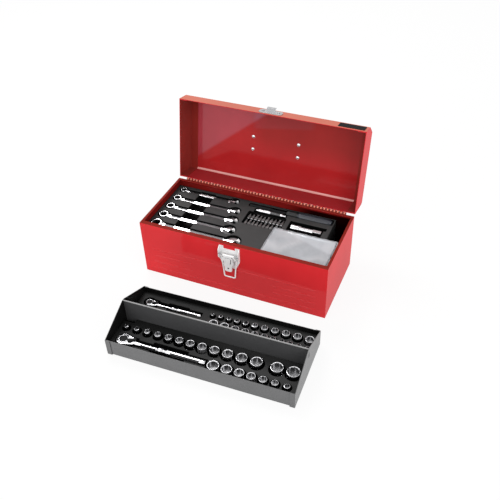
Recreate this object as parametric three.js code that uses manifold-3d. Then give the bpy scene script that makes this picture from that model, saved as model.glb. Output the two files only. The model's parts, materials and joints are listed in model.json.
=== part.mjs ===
// Steel toolbox with a hinged lid and a lift-out tray of sockets, millimetres, +Z up.
// The origin is the middle of the box's underside, X runs along the box and -Y is its front.
import * as THREE from 'three';
import { mergeVertices } from 'three/addons/utils/BufferGeometryUtils.js';
import Module from 'manifold-3d';

const wasm = await Module();
wasm.setup();

// ---------------------------------------------------------------- driving dimensions
// Box body
const BODY_LENGTH = 450;
const BODY_WIDTH = 197;
const BODY_HEIGHT = 143;
const SHEET = 1.2;
const RIM_FRONT = 11;
const RIM_BACK = 7;
const RIM_END = 6;
const WELD_FLANGE = 12;
const BEAD_WIDTH = 4;
const BEAD_PROUD = 1;
const BEAD_END_MARGIN = 24;
const BEAD_FOOT = 18;
const BEAD_TOP_DROP = 68.5;
const BEAD_SHORT_LENGTH = 102;
const BEAD_LINES = 4;
// Clearance between pieces that lie against each other, and round pins
const FIT = 0.3;
// Piano hinge
const HINGE_END_MARGIN = 20;
const HINGE_OUT = 3.2;
const KNUCKLE_RADIUS = 2.8;
const HINGE_PIN_RADIUS = 1.3;
const KNUCKLES = 13;
const KNUCKLE_GAP = 0.6;
const LEAF_HEIGHT = 13;
const LEAF_DROP = 3.4;
// Lid
const LID_DEPTH = 63;
const LID_LIP = 34;
const LID_SLOPE_RUN = 20;
const LID_BEND = 8;
const LID_FLANGE = 18;
const LID_OPEN = 100.5;
// Carry handle on the lid
const HANDLE_SPAN = 115;
const HANDLE_ARM = 34;
const HANDLE_BAR_RADIUS = 3;
const HANDLE_GRIP_RADIUS = 8.5;
const HANDLE_GRIP_LENGTH = 84;
const HANDLE_AXIS_UP = 11;
const BRACKET_WIDTH = 18;
const BRACKET_DEPTH = 46;
const BRACKET_SHEET = 1.6;
const BRACKET_RIVETS = 32;
const EAR_SHEET = 2.4;
const EAR_LENGTH = 16;
const RIVET_SHANK_RADIUS = 1.8;
const RIVET_HEAD_RADIUS = 3.4;
const RIVET_HEAD_RISE = 1.3;
// Latch on the box front
const LATCH_WIDTH = 49;
const LATCH_SHEET = 1.4;
const LATCH_TOP_DROP = 5;
const LATCH_NOTCH_WIDTH = 28;
const LATCH_NOTCH_DEPTH = 7;
const LATCH_SHOULDER_DROP = 42;
const LATCH_FOOT_DROP = 64;
const LATCH_FOOT_WIDTH = 30;
const CHEEK_DEPTH = 9;
const LATCH_PIVOT_OUT = 8;
const LATCH_PIVOT_DROP = 24;
const LATCH_PIN_RADIUS = 1.5;
const LEVER_HALF_WIDTH = 14.5;
const LEVER_TIP_WIDTH = 18;
const LEVER_TIP_DROP = 68;
const LEVER_WAIST_DROP = 51;
const LUG_DEPTH = 6;
const PADLOCK_HOLE_RADIUS = 2.3;
const BAIL_WIRE_RADIUS = 1.5;
const BAIL_HALF_WIDTH = 17.5;
const BAIL_FOOT_HALF_WIDTH = 12.8;
const BAIL_PIVOT_DROP = 35;
const BAIL_PIVOT_OUT = 4.7;
const BAIL_LENGTH = 54;
// Catch and bare label plate on the lid's lip
const CATCH_WIDTH = 55;
const CATCH_HEIGHT = 22;
const CATCH_BOTTOM = 4;
const CATCH_SHEET = 1.4;
const HOOK_WIDTH = 20.8;
const HOOK_CLEARANCE = 2.4;
const HOOK_LIP = 6;
const LABEL_WIDTH = 60;
const LABEL_HEIGHT = 24;
const LABEL_SHEET = 0.6;
const LABEL_END_MARGIN = 6;
// Insert in the box
const INSERT_DROP = 19;
const INSERT_DECK = 20;
const INSERT_SKIRT = 2.5;
const INSERT_END_GAP = 40.6;
const SLOT_CLEARANCE = 3;
const FINGER_TROUGH_START = 66;
const FINGER_TROUGH_LENGTH = 39.5;
const FINGER_TROUGH_DEPTH = 18;
// Combination spanners, smallest at the back
const SPANNER_SIZES = [17, 14, 13, 12, 10];
const SPANNER_FRONT_MARGIN = 37;
const SPANNER_BACK_MARGIN = 18.4;
const SPANNER_BASE_LENGTH = 55;
const SPANNER_LENGTH_PER_SIZE = 10;
const SPANNER_END_MARGIN = 21;
const RING_THICK = 10;
const JAW_THICK = 6.5;
const SHANK_THICK = 4.8;
const SPANNER_PROUD = 0.5;
const SHANK_DROP = 1.5;
const JAW_DROP = 1.5;
const SHANK_CLEARANCE = 0.9;
const JAW_ANGLE = -15;
// Bit driver
const DRIVER_HANDLE_LENGTH = 111;
const DRIVER_HANDLE_RADIUS = 9;
const DRIVER_SHANK_RADIUS = 3;
const DRIVER_NOSE_RADIUS = 4.6;
const DRIVER_NOSE_SHARE = 0.6;
const DRIVER_START = 199;
const DRIVER_BACK_MARGIN = 17;
const DRIVER_END_MARGIN = 6;
const DRIVER_AXIS_DROP = 3;
const DRIVER_POCKET_WIDTH = 22;
const DRIVER_SLOT_WIDTH = 14;

const HOLDER_SET_IN = 21;
const HOLDER_LENGTH = 75;
const HOLDER_SLEEVE_LENGTH = 36;
const HOLDER_COLLAR_START = 62;
const HOLDER_RADIUS = 4.3;
const HOLDER_BACK_MARGIN = 30.3;
const HOLDER_AXIS_DROP = 2.5;
const HOLDER_CLEARANCE = 0.6;
// Bits in two clips
const BIT_ROW = 10;
const BIT_PITCH = 9.2;
const BIT_LENGTH = 25;
const BIT_RADIUS = 3.6;
const BIT_FIELD_START = 206;
const BIT_FIELD_LENGTH = 95;
const BIT_FIELD_BACK_MARGIN = 40.2;
const BIT_CLEARANCE = 1.6;
const BIT_FIELD_DEPTH = 14;
const CLIP_WIDTH = 7;
// Extension bar
const EXTENSION_LENGTH = 72;
const EXTENSION_RADIUS = 7.5;
const EXTENSION_BODY_LENGTH = 53;
const EXTENSION_SQUARE = 9.4;
const EXTENSION_START = 320;
const EXTENSION_BACK_MARGIN = 64;
const EXTENSION_POCKET_WIDTH = 42;
const EXTENSION_POCKET_SPARE = 8;
const EXTENSION_STEP_LENGTH = 5.5;
const EXTENSION_STEP_WIDTH = 31;
const EXTENSION_POCKET_DEPTH = 13;
const EXTENSION_SEAT_HEIGHT = 3;
// Soft bag of small parts
const BAG_LENGTH = 154;
const BAG_BACK_GAP = 11;
const BAG_THICK = 10;
const BAG_EDGE = 3;
const BAG_END_MARGIN = 10.5;
const BAG_FRONT_MARGIN = 21;
// Tray
const TRAY_LENGTH = 414;
const TRAY_WIDTH = 175;
const TRAY_WALL = 41;
const TRAY_PEAK = 78;
const TRAY_PEAK_FLAT = 8;
const TRAY_SHEET = 1.0;
const TRAY_LAP = 11;
const TRAY_HEM = 3;
const TRAY_HEM_HEIGHT = 4;
const TRAY_SLOT_WIDTH = 5;
const TRAY_SLOT_HEIGHT = 14;
const TRAY_SLOT_UP = 52;
const TRAY_AHEAD = 166.8;
const TRAY_SHIFT = 56.2;
const TRAY_YAW = 2.1;
// Inserts in the tray
const TRAY_INSERT_TOP = 28;
const TRAY_INSERT_DECK = 15;
const TRAY_INSERT_SKIRT = 2;
const TRAY_NOTCH_LENGTH = 27;
const TRAY_NOTCH_WIDTH = 12;
const SOCKET_WEB = 1.2;
const SOCKET_WEB_WIDTH = 6;
const SOCKET_BORE_DEPTH = 12;
const SOCKET_WALL_SHARE = 0.66;
const SOCKET_SIDES = 12;
// Each row: first centre from the tray's left end, its line from the front or the back,
// first and last diameter, count, height, least pitch, spacing, clearance and a break
const SOCKET_ROWS = {
  a: { startMargin: 18.5, frontMargin: 57, firstDiameter: 10.4, lastDiameter: 28, count: 14,
    height: 33, pitch: 25, spacing: 7.3, clearance: 4.5, breakAfter: 12, breakLength: 10 },
  b: { startMargin: 235, frontMargin: 20.5, firstDiameter: 25, lastDiameter: 12.5, count: 7,
    height: 31, pitch: 24.8, spacing: 5.3, clearance: 4.2, breakAfter: 0, breakLength: 0 },
  c: { startMargin: 179, backMargin: 25, firstDiameter: 7.4, lastDiameter: 19, count: 11,
    height: 32, pitch: 19, spacing: 8.2, clearance: 3.4, breakAfter: 0, breakLength: 0 },
  d: { startMargin: 190, backMargin: 48, firstDiameter: 21, lastDiameter: 8.4, count: 11,
    height: 31, pitch: 18.9, spacing: 5.2, clearance: 3.4, breakAfter: 0, breakLength: 0 },
};
// Ratchets, both of one design: length over all, head radius and place in the tray
const RATCHETS = {
  large: { length: 202, headRadius: 15, startMargin: 14, frontMargin: 25, squareWidth: 9.5,
    cutLength: 80 },
  small: { length: 135, headRadius: 10.5, startMargin: 17.5, backMargin: 30, squareWidth: 6.3,
    cutLength: 50 },
};
const RATCHET_SLOT_CLEARANCE = 3;

// ---------------------------------------------------------------- helpers
const SIDE_FRONT = -BODY_WIDTH / 2;
const SIDE_BACK = BODY_WIDTH / 2;
const END_LEFT = -BODY_LENGTH / 2;
const LATCH_TOP = BODY_HEIGHT - LATCH_TOP_DROP;
const LATCH_SHOULDER = BODY_HEIGHT - LATCH_SHOULDER_DROP;
const LATCH_FOOT = BODY_HEIGHT - LATCH_FOOT_DROP;
const LATCH_PIVOT_HEIGHT = BODY_HEIGHT - LATCH_PIVOT_DROP;
const LEVER_TIP = BODY_HEIGHT - LEVER_TIP_DROP;
const LEVER_WAIST = BODY_HEIGHT - LEVER_WAIST_DROP;
const BAIL_PIVOT_HEIGHT = BODY_HEIGHT - BAIL_PIVOT_DROP;
const INSERT_TOP = BODY_HEIGHT - INSERT_DROP;
const HINGE_LENGTH = BODY_LENGTH - HINGE_END_MARGIN * 2;
const SPANNER_PITCH = (BODY_WIDTH - SPANNER_FRONT_MARGIN - SPANNER_BACK_MARGIN)
  / (SPANNER_SIZES.length - 1);
const rad = THREE.MathUtils.degToRad;

function toSolid(geometry) {
  const clean = geometry.clone();
  clean.deleteAttribute('normal');
  clean.deleteAttribute('uv');
  const merged = mergeVertices(clean, 1e-4);
  return new wasm.Manifold(new wasm.Mesh({
    numProp: 3,
    vertProperties: new Float32Array(merged.attributes.position.array),
    triVerts: new Uint32Array(merged.index.array),
  }));
}

function toGeometry(solid) {
  const mesh = solid.getMesh();
  const geometry = new THREE.BufferGeometry();
  geometry.setAttribute('position', new THREE.BufferAttribute(mesh.vertProperties, 3));
  geometry.setIndex(new THREE.BufferAttribute(mesh.triVerts, 1));
  return geometry;
}

function joined(pieces) {
  return pieces.reduce((whole, piece) => whole.add(piece));
}

function cut(solid, tools) {
  return tools.reduce((rest, tool) => rest.subtract(tool), solid);
}

function box(x0, x1, y0, y1, z0, z1) {
  const geometry = new THREE.BoxGeometry(Math.abs(x1 - x0), Math.abs(y1 - y0), Math.abs(z1 - z0));
  geometry.translate((x0 + x1) / 2, (y0 + y1) / 2, (z0 + z1) / 2);
  return toSolid(geometry);
}

function outline(points) {
  return new THREE.Shape(points.map(([u, v]) => new THREE.Vector2(u, v)));
}

// A flat shape drawn in XY and raised along Z.
function prismZ(shape, z0, z1, curveSegments = 8) {
  const geometry = new THREE.ExtrudeGeometry(shape, { depth: z1 - z0, bevelEnabled: false, curveSegments });
  geometry.translate(0, 0, z0);
  return toSolid(geometry);
}

// A shape drawn in YZ and drawn out along X.
function prismX(shape, x0, x1, curveSegments = 8) {
  const geometry = new THREE.ExtrudeGeometry(shape, { depth: x1 - x0, bevelEnabled: false, curveSegments });
  geometry.applyMatrix4(new THREE.Matrix4().set(0, 0, 1, x0, 1, 0, 0, 0, 0, 1, 0, 0, 0, 0, 0, 1));
  return toSolid(geometry);
}

// A shape drawn in XZ and drawn out along Y.
function prismY(shape, y0, y1, curveSegments = 8) {
  const geometry = new THREE.ExtrudeGeometry(shape, { depth: y1 - y0, bevelEnabled: false, curveSegments });
  geometry.applyMatrix4(new THREE.Matrix4().set(1, 0, 0, 0, 0, 0, -1, y1, 0, 1, 0, 0, 0, 0, 0, 1));
  return toSolid(geometry);
}

function rodX(radius, x0, x1, y, z, sides = 12) {
  const geometry = new THREE.CylinderGeometry(radius, radius, x1 - x0, sides);
  geometry.rotateZ(Math.PI / 2);
  geometry.translate((x0 + x1) / 2, y, z);
  return toSolid(geometry);
}

function rodY(radius, y0, y1, x, z, sides = 12) {
  const geometry = new THREE.CylinderGeometry(radius, radius, y1 - y0, sides);
  geometry.translate(x, (y0 + y1) / 2, z);
  return toSolid(geometry);
}

function rodZ(radius, z0, z1, x, y, sides = 16) {
  const geometry = new THREE.CylinderGeometry(radius, radius, z1 - z0, sides);
  geometry.rotateX(Math.PI / 2);
  geometry.translate(x, y, (z0 + z1) / 2);
  return toSolid(geometry);
}

// A turned piece along X from (distance, radius) points, starting and ending on its axis.
function turnedX(profile, x, y, z, sides = 16) {
  const points = profile.map(([along, radius]) => new THREE.Vector2(radius, along));
  const geometry = new THREE.LatheGeometry(points, sides);
  geometry.rotateZ(-Math.PI / 2);
  geometry.translate(x, y, z);
  return toSolid(geometry);
}

function finish(colour, roughness, metalness) {
  return new THREE.MeshStandardMaterial({ color: colour, roughness, metalness });
}

const RED = finish('#c4242c', 0.3, 0.1);
const CHROME = finish('#d8dadc', 0.15, 1);
const STEEL = finish('#b4b6b8', 0.3, 1);
const TRAY_PAINT = finish('#6a6a6c', 0.4, 0.2);
const PLASTIC = finish('#4c4c50', 0.6, 0);
const BLACK = finish('#15161a', 0.45, 0);
const BAG_FILM = finish('#b8b9be', 0.25, 0);

const toolbox = new THREE.Group();

function place(name, solid, material, parent) {
  const mesh = new THREE.Mesh(toGeometry(solid), material);
  mesh.name = name;
  parent.add(mesh);
  return mesh;
}

// ---------------------------------------------------------------- box body
function makeBodyWrap() {
  const half = BODY_LENGTH / 2;
  const rimFront = outline([
    [-half, SIDE_FRONT], [half, SIDE_FRONT], [half, SIDE_FRONT + SHEET],
    [half - RIM_END, SIDE_FRONT + RIM_FRONT], [-half + RIM_END, SIDE_FRONT + RIM_FRONT],
    [-half, SIDE_FRONT + SHEET],
  ]);
  const rimBack = outline([
    [-half, SIDE_BACK], [-half, SIDE_BACK - SHEET], [-half + RIM_END, SIDE_BACK - RIM_BACK],
    [half - RIM_END, SIDE_BACK - RIM_BACK], [half, SIDE_BACK - SHEET], [half, SIDE_BACK],
  ]);
  const pieces = [
    box(-half, half, SIDE_FRONT, SIDE_BACK, 0, SHEET),
    box(-half, half, SIDE_FRONT, SIDE_FRONT + SHEET, 0, BODY_HEIGHT),
    box(-half, half, SIDE_BACK - SHEET, SIDE_BACK, 0, BODY_HEIGHT),
    prismZ(rimFront, BODY_HEIGHT - SHEET, BODY_HEIGHT),
    prismZ(rimBack, BODY_HEIGHT - SHEET, BODY_HEIGHT),
  ];
  const longHalf = half - BEAD_END_MARGIN;
  const pitch = (BODY_HEIGHT - BEAD_TOP_DROP - BEAD_FOOT) / (BEAD_LINES - 1);
  for (const height of [BEAD_FOOT, BEAD_FOOT + pitch * (BEAD_LINES - 1)]) {
    pieces.push(makeBead(-longHalf, longHalf, height, SIDE_FRONT, -1));
    pieces.push(makeBead(-longHalf, longHalf, height, SIDE_BACK, 1));
  }
  for (let line = 1; line < BEAD_LINES - 1; line += 1) {
    const height = BEAD_FOOT + pitch * line;
    pieces.push(makeBead(-longHalf, -longHalf + BEAD_SHORT_LENGTH, height, SIDE_FRONT, -1));
    pieces.push(makeBead(longHalf - BEAD_SHORT_LENGTH, longHalf, height, SIDE_FRONT, -1));
  }
  return joined(pieces);
}

// A pressed bead: a low trapezium standing proud of the wall at y, outwards.
function makeBead(x0, x1, height, y, outwards) {
  const base = BEAD_WIDTH / 2;
  const crest = BEAD_WIDTH / 6;
  const root = y - outwards * SHEET / 2;
  const top = y + outwards * BEAD_PROUD;
  const section = outline([
    [root, height - base], [y, height - base], [top, height - crest],
    [top, height + crest], [y, height + base], [root, height + base],
  ]);
  return prismX(section, x0, x1);
}

function makeBodyEnd(side) {
  const outer = side * BODY_LENGTH / 2;
  const inner = outer - side * SHEET;
  const flangeEnd = inner - side * WELD_FLANGE;
  const front = SIDE_FRONT + SHEET;
  const back = SIDE_BACK - SHEET;
  const rim = outline([
    [outer, front + FIT], [outer - side * RIM_END, SIDE_FRONT + RIM_FRONT + FIT],
    [outer - side * RIM_END, SIDE_BACK - RIM_BACK - FIT], [outer, back - FIT],
  ]);
  return joined([
    box(inner, outer, front, back, SHEET, BODY_HEIGHT - SHEET),
    box(inner, outer, SIDE_FRONT + RIM_FRONT + FIT, SIDE_BACK - RIM_BACK - FIT, SHEET, BODY_HEIGHT),
    box(outer, flangeEnd, front, front + SHEET, SHEET, BODY_HEIGHT - SHEET),
    box(outer, flangeEnd, back - SHEET, back, SHEET, BODY_HEIGHT - SHEET),
    box(outer, flangeEnd, front, back, SHEET, SHEET * 2),
    prismZ(rim, BODY_HEIGHT - SHEET, BODY_HEIGHT),
  ]);
}

place('body_wrap', makeBodyWrap(), RED, toolbox);
place('body_end_left', makeBodyEnd(-1), RED, toolbox);
place('body_end_right', makeBodyEnd(1), RED, toolbox);

// ---------------------------------------------------------------- lid and its hinge
// The lid is drawn closed, about the hinge pin, and its group turns it open.
const HINGE_Y = SIDE_BACK + HINGE_OUT;
const HINGE_Z = BODY_HEIGHT + FIT / 2;
const LID_RIM = FIT / 2;
const LID_TOP = LID_RIM + LID_DEPTH;
const LID_FRONT = SIDE_FRONT - HINGE_Y;
const LID_BACK = SIDE_BACK - HINGE_Y;
const KNUCKLE_LENGTH = HINGE_LENGTH / KNUCKLES;
const LEAF_SHEET = 1.2;

// One leaf with every second knuckle; direction is -1 for the leaf below the pin, 1 above.
function makeLeaf(y, z, first, direction) {
  const face = y - HINGE_OUT;
  const leafNear = z + direction * LEAF_DROP;
  const leafFar = z + direction * (LEAF_DROP + LEAF_HEIGHT);
  const pieces = [
    box(-HINGE_LENGTH / 2, HINGE_LENGTH / 2, face + FIT, face + FIT + LEAF_SHEET, leafNear, leafFar),
  ];
  const bores = [];
  for (let index = first; index < KNUCKLES; index += 2) {
    const x0 = -HINGE_LENGTH / 2 + index * KNUCKLE_LENGTH + KNUCKLE_GAP / 2;
    const x1 = x0 + KNUCKLE_LENGTH - KNUCKLE_GAP;
    pieces.push(rodX(KNUCKLE_RADIUS, x0, x1, y, z, 8));
    pieces.push(box(x0, x1, face + FIT, face + FIT + LEAF_SHEET, z, leafNear));
    bores.push(rodX(HINGE_PIN_RADIUS + FIT, x0 - 1, x1 + 1, y, z, 8));
  }
  return cut(joined(pieces), bores);
}

place('hinge_leaf_body', makeLeaf(HINGE_Y, HINGE_Z, 0, -1), RED, toolbox);
place('hinge_pin', rodX(HINGE_PIN_RADIUS, -HINGE_LENGTH / 2, HINGE_LENGTH / 2, HINGE_Y, HINGE_Z, 10),
  STEEL, toolbox);

const lid = new THREE.Group();
lid.position.set(0, HINGE_Y, HINGE_Z);
lid.rotation.x = -rad(LID_OPEN);
toolbox.add(lid);

// The lid's end-on outline, moved inwards by inset all round and down to a given foot.
function lidOutline(inset, foot) {
  const run = LID_SLOPE_RUN;
  const rise = LID_DEPTH - LID_LIP;
  const slope = Math.hypot(run, rise);
  const front = LID_FRONT + inset;
  const lipTop = LID_RIM + LID_LIP;
  const alongToLip = inset * (1 - rise / slope) * slope / run;
  const lip = lipTop - inset * run / slope + alongToLip * rise / slope;
  const top = LID_TOP - inset;
  const alongToTop = (top - lipTop + inset * run / slope) * slope / rise;
  const topStart = LID_FRONT + inset * rise / slope + alongToTop * run / slope;
  const back = LID_BACK - inset;
  const bend = LID_BEND - inset;
  const shape = new THREE.Shape();
  shape.moveTo(front, foot);
  shape.lineTo(front, lip);
  shape.lineTo(topStart, top);
  shape.lineTo(back - bend, top);
  shape.absarc(back - bend, top - bend, bend, Math.PI / 2, 0, true);
  shape.lineTo(back, foot);
  return shape;
}

function makeLidWrap() {
  const half = BODY_LENGTH / 2;
  return prismX(lidOutline(0, LID_RIM), -half, half, 4)
    .subtract(prismX(lidOutline(SHEET, LID_RIM - 1), -half - 1, half + 1, 4));
}

function makeLidEnd(side) {
  const outer = side * BODY_LENGTH / 2;
  const inner = outer - side * SHEET;
  const flangeEnd = inner - side * LID_FLANGE;
  const inset = SHEET + FIT;
  const x0 = Math.min(inner, outer);
  const plate = prismX(lidOutline(inset, LID_RIM), x0, x0 + SHEET, 4);
  const ring = prismX(lidOutline(inset, LID_RIM), Math.min(flangeEnd, inner), Math.max(flangeEnd, inner), 4)
    .subtract(prismX(lidOutline(inset + SHEET, LID_RIM - 1), Math.min(flangeEnd, inner) - 1,
      Math.max(flangeEnd, inner) + 1, 4));
  return plate.add(ring);
}

place('lid_wrap', makeLidWrap(), RED, lid);
place('lid_end_left', makeLidEnd(-1), RED, lid);
place('lid_end_right', makeLidEnd(1), RED, lid);
place('hinge_leaf_lid', makeLeaf(0, 0, 1, 1), RED, lid);

// ---------------------------------------------------------------- carry handle
const LID_MIDDLE = (LID_FRONT + LID_BACK) / 2;
const HANDLE_AXIS_Z = LID_TOP + FIT + HANDLE_AXIS_UP;

function makeBracket(side) {
  const x = side * HANDLE_SPAN / 2;
  const base = LID_TOP + FIT;
  const ear = new THREE.Shape();
  ear.moveTo(LID_MIDDLE - EAR_LENGTH / 2, base);
  ear.lineTo(LID_MIDDLE + EAR_LENGTH / 2, base);
  ear.lineTo(LID_MIDDLE + HANDLE_BAR_RADIUS * 2, HANDLE_AXIS_Z);
  ear.absarc(LID_MIDDLE, HANDLE_AXIS_Z, HANDLE_BAR_RADIUS * 2, 0, Math.PI, false);
  ear.lineTo(LID_MIDDLE - EAR_LENGTH / 2, base);
  const holes = [rodX(HANDLE_BAR_RADIUS + FIT, x - BRACKET_WIDTH, x + BRACKET_WIDTH, LID_MIDDLE,
    HANDLE_AXIS_Z)];
  for (const end of [-1, 1]) {
    const y = LID_MIDDLE + end * BRACKET_RIVETS / 2;
    holes.push(rodZ(RIVET_SHANK_RADIUS + FIT, base - 1, base + BRACKET_SHEET + 1, x, y, 10));
  }
  const plate = box(x - BRACKET_WIDTH / 2, x + BRACKET_WIDTH / 2, LID_MIDDLE - BRACKET_DEPTH / 2,
    LID_MIDDLE + BRACKET_DEPTH / 2, base, base + BRACKET_SHEET);
  return cut(plate.add(prismX(ear, x - EAR_SHEET / 2, x + EAR_SHEET / 2, 6)), holes);
}

// A rivet through a stack of sheets, along Z, with a low dome at both ends.
function makeRivetZ(x, y, low, high) {
  const rise = RIVET_HEAD_RISE;
  const wide = RIVET_HEAD_RADIUS;
  const geometry = new THREE.LatheGeometry([
    [0, low - rise], [wide * 0.6, low - rise * 0.75], [wide, low], [RIVET_SHANK_RADIUS, low],
    [RIVET_SHANK_RADIUS, high], [wide, high], [wide * 0.6, high + rise * 0.75], [0, high + rise],
  ].map(([radius, height]) => new THREE.Vector2(radius, height)), 10);
  geometry.rotateX(Math.PI / 2);
  geometry.translate(x, y, 0);
  return toSolid(geometry);
}

// The bar of the handle: two arms and a crosspiece, its ends turned outwards into the ears.
function makeHandleBar() {
  const r = HANDLE_BAR_RADIUS;
  const armX = HANDLE_SPAN / 2 - BRACKET_WIDTH / 2 - r;
  const tipX = HANDLE_SPAN / 2 + EAR_SHEET / 2 + FIT * 4;
  return joined([
    rodX(r, -tipX, -armX + r, 0, 0),
    rodX(r, armX - r, tipX, 0, 0),
    rodY(r, -r, HANDLE_ARM + r, -armX, 0),
    rodY(r, -r, HANDLE_ARM + r, armX, 0),
    rodX(r, -armX, armX, HANDLE_ARM, 0),
  ]);
}

function makeHandleGrip() {
  const half = HANDLE_GRIP_LENGTH / 2;
  const tube = rodX(HANDLE_GRIP_RADIUS, -half, half, HANDLE_ARM, 0, 16);
  return tube.subtract(rodX(HANDLE_BAR_RADIUS + FIT, -half - 1, half + 1, HANDLE_ARM, 0));
}

place('handle_bracket_left', makeBracket(-1), CHROME, lid);
place('handle_bracket_right', makeBracket(1), CHROME, lid);
const lidRivetHoles = [];
for (const [sideName, side] of [['left', -1], ['right', 1]]) {
  for (const [endName, end] of [['front', -1], ['back', 1]]) {
    const x = side * HANDLE_SPAN / 2;
    const y = LID_MIDDLE + end * BRACKET_RIVETS / 2;
    const low = LID_TOP - SHEET - FIT;
    const high = LID_TOP + FIT + BRACKET_SHEET + FIT;
    place(`handle_rivet_${sideName}_${endName}`, makeRivetZ(x, y, low, high), STEEL, lid);
    lidRivetHoles.push(rodZ(RIVET_SHANK_RADIUS + FIT, LID_TOP - LID_BEND, LID_TOP + 1, x, y, 10));
  }
}
const handle = new THREE.Group();
handle.position.set(0, LID_MIDDLE, HANDLE_AXIS_Z);
handle.rotation.x = rad(LID_OPEN - 90);
lid.add(handle);
place('handle_bar', makeHandleBar(), CHROME, handle);
place('handle_grip', makeHandleGrip(), BLACK, handle);

// ---------------------------------------------------------------- catch and label on the lip
// With the lid closed, the latch's wire loop lies in the channel of the hook.
const PIVOT_Y = SIDE_FRONT - LATCH_PIVOT_OUT;
const BAIL_Y = SIDE_FRONT - BAIL_PIVOT_OUT;
const HOOK_FLOOR = BAIL_PIVOT_HEIGHT + BAIL_LENGTH - BAIL_WIRE_RADIUS - FIT - HINGE_Z;
const HOOK_INNER = BAIL_Y - BAIL_WIRE_RADIUS - HOOK_CLEARANCE - HINGE_Y;
const CATCH_FACE = LID_FRONT - FIT;
const CATCH_RIVET_X = (HOOK_WIDTH + CATCH_WIDTH) / 4;
const CATCH_RIVET_Z = LID_RIM + CATCH_BOTTOM + CATCH_HEIGHT / 2;

function makeRivetY(x, z, back, front) {
  const rise = RIVET_HEAD_RISE;
  const wide = RIVET_HEAD_RADIUS;
  const geometry = new THREE.LatheGeometry([
    [0, front - rise], [wide * 0.6, front - rise * 0.75], [wide, front], [RIVET_SHANK_RADIUS, front],
    [RIVET_SHANK_RADIUS, back], [wide, back], [wide * 0.6, back + rise * 0.75], [0, back + rise],
  ].map(([radius, along]) => new THREE.Vector2(radius, along)), 10);
  geometry.translate(x, 0, z);
  return toSolid(geometry);
}

function makeCatch() {
  const low = LID_RIM + CATCH_BOTTOM;
  const high = low + CATCH_HEIGHT;
  const nip = CATCH_HEIGHT / 5;
  const half = CATCH_WIDTH / 2;
  const plate = outline([
    [-half, low + nip], [-half + nip, low], [half - nip, low], [half, low + nip],
    [half, high - nip], [half - nip, high], [-half + nip, high], [-half, high - nip],
  ]);
  const bend = CATCH_SHEET;
  const outer = HOOK_INNER - CATCH_SHEET;
  const hook = outline([
    [CATCH_FACE, HOOK_FLOOR - CATCH_SHEET], [outer + bend, HOOK_FLOOR - CATCH_SHEET],
    [outer, HOOK_FLOOR - CATCH_SHEET + bend], [outer, HOOK_FLOOR + HOOK_LIP],
    [HOOK_INNER, HOOK_FLOOR + HOOK_LIP], [HOOK_INNER, HOOK_FLOOR], [CATCH_FACE, HOOK_FLOOR],
  ]);
  const holes = [-1, 1].map((side) => rodY(RIVET_SHANK_RADIUS + FIT, CATCH_FACE - CATCH_SHEET - 1,
    CATCH_FACE + 1, side * CATCH_RIVET_X, CATCH_RIVET_Z, 10));
  return cut(prismY(plate, CATCH_FACE - CATCH_SHEET, CATCH_FACE)
    .add(prismX(hook, -HOOK_WIDTH / 2, HOOK_WIDTH / 2)), holes);
}

place('catch_plate', makeCatch(), CHROME, lid);
for (const [sideName, side] of [['left', -1], ['right', 1]]) {
  place(`catch_rivet_${sideName}`, makeRivetY(side * CATCH_RIVET_X, CATCH_RIVET_Z,
    LID_FRONT + SHEET + FIT, CATCH_FACE - CATCH_SHEET - FIT), STEEL, lid);
  lidRivetHoles.push(rodY(RIVET_SHANK_RADIUS + FIT, LID_FRONT - 1, LID_FRONT + LID_BEND,
    side * CATCH_RIVET_X, CATCH_RIVET_Z, 10));
}
const labelRight = BODY_LENGTH / 2 - LABEL_END_MARGIN;
const labelLow = LID_RIM + (LID_LIP - LABEL_HEIGHT) / 2;
place('label_plate', box(labelRight - LABEL_WIDTH, labelRight, CATCH_FACE - LABEL_SHEET, CATCH_FACE,
  labelLow, labelLow + LABEL_HEIGHT), BLACK, lid);
const lidWrap = lid.getObjectByName('lid_wrap');
lidWrap.geometry = toGeometry(cut(makeLidWrap(), lidRivetHoles));

// ---------------------------------------------------------------- latch
const LATCH_FACE = SIDE_FRONT - LATCH_SHEET;
const LATCH_RIVET_X = LATCH_FOOT_WIDTH / 4;
const LATCH_RIVET_Z = (LATCH_SHOULDER + LEVER_WAIST) / 2;

function makeLatchBase() {
  const half = LATCH_WIDTH / 2;
  const foot = LATCH_FOOT_WIDTH / 2;
  const notch = LATCH_NOTCH_WIDTH / 2;
  const notchFloor = LATCH_TOP - LATCH_NOTCH_DEPTH;
  const plate = outline([
    [-half, LATCH_TOP], [-half, LATCH_SHOULDER], [-foot, LATCH_FOOT], [foot, LATCH_FOOT],
    [half, LATCH_SHOULDER], [half, LATCH_TOP], [notch, LATCH_TOP], [notch, notchFloor],
    [-notch, notchFloor], [-notch, LATCH_TOP],
  ]);
  const pieces = [prismY(plate, LATCH_FACE, SIDE_FRONT)];
  const holes = [];
  for (const side of [-1, 1]) {
    const outer = side * half;
    const inner = outer - side * LATCH_SHEET;
    const cheekFront = SIDE_FRONT - CHEEK_DEPTH;
    const cheek = outline([
      [LATCH_FACE, LATCH_SHOULDER], [LATCH_FACE, LATCH_TOP], [cheekFront, LATCH_TOP - CHEEK_DEPTH],
      [cheekFront, LATCH_SHOULDER + CHEEK_DEPTH],
    ]);
    pieces.push(prismX(cheek, Math.min(inner, outer), Math.max(inner, outer)));
    holes.push(rodY(RIVET_SHANK_RADIUS + FIT, LATCH_FACE - 1, SIDE_FRONT + 1, side * LATCH_RIVET_X,
      LATCH_RIVET_Z, 10));
  }
  holes.push(rodX(LATCH_PIN_RADIUS + FIT, -half - 1, half + 1, PIVOT_Y, LATCH_PIVOT_HEIGHT, 12));
  return cut(joined(pieces), holes);
}

const LEVER_FACE = PIVOT_Y - LATCH_PIN_RADIUS - FIT;
const LEVER_TOP = LATCH_PIVOT_HEIGHT + LATCH_PIN_RADIUS;

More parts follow.
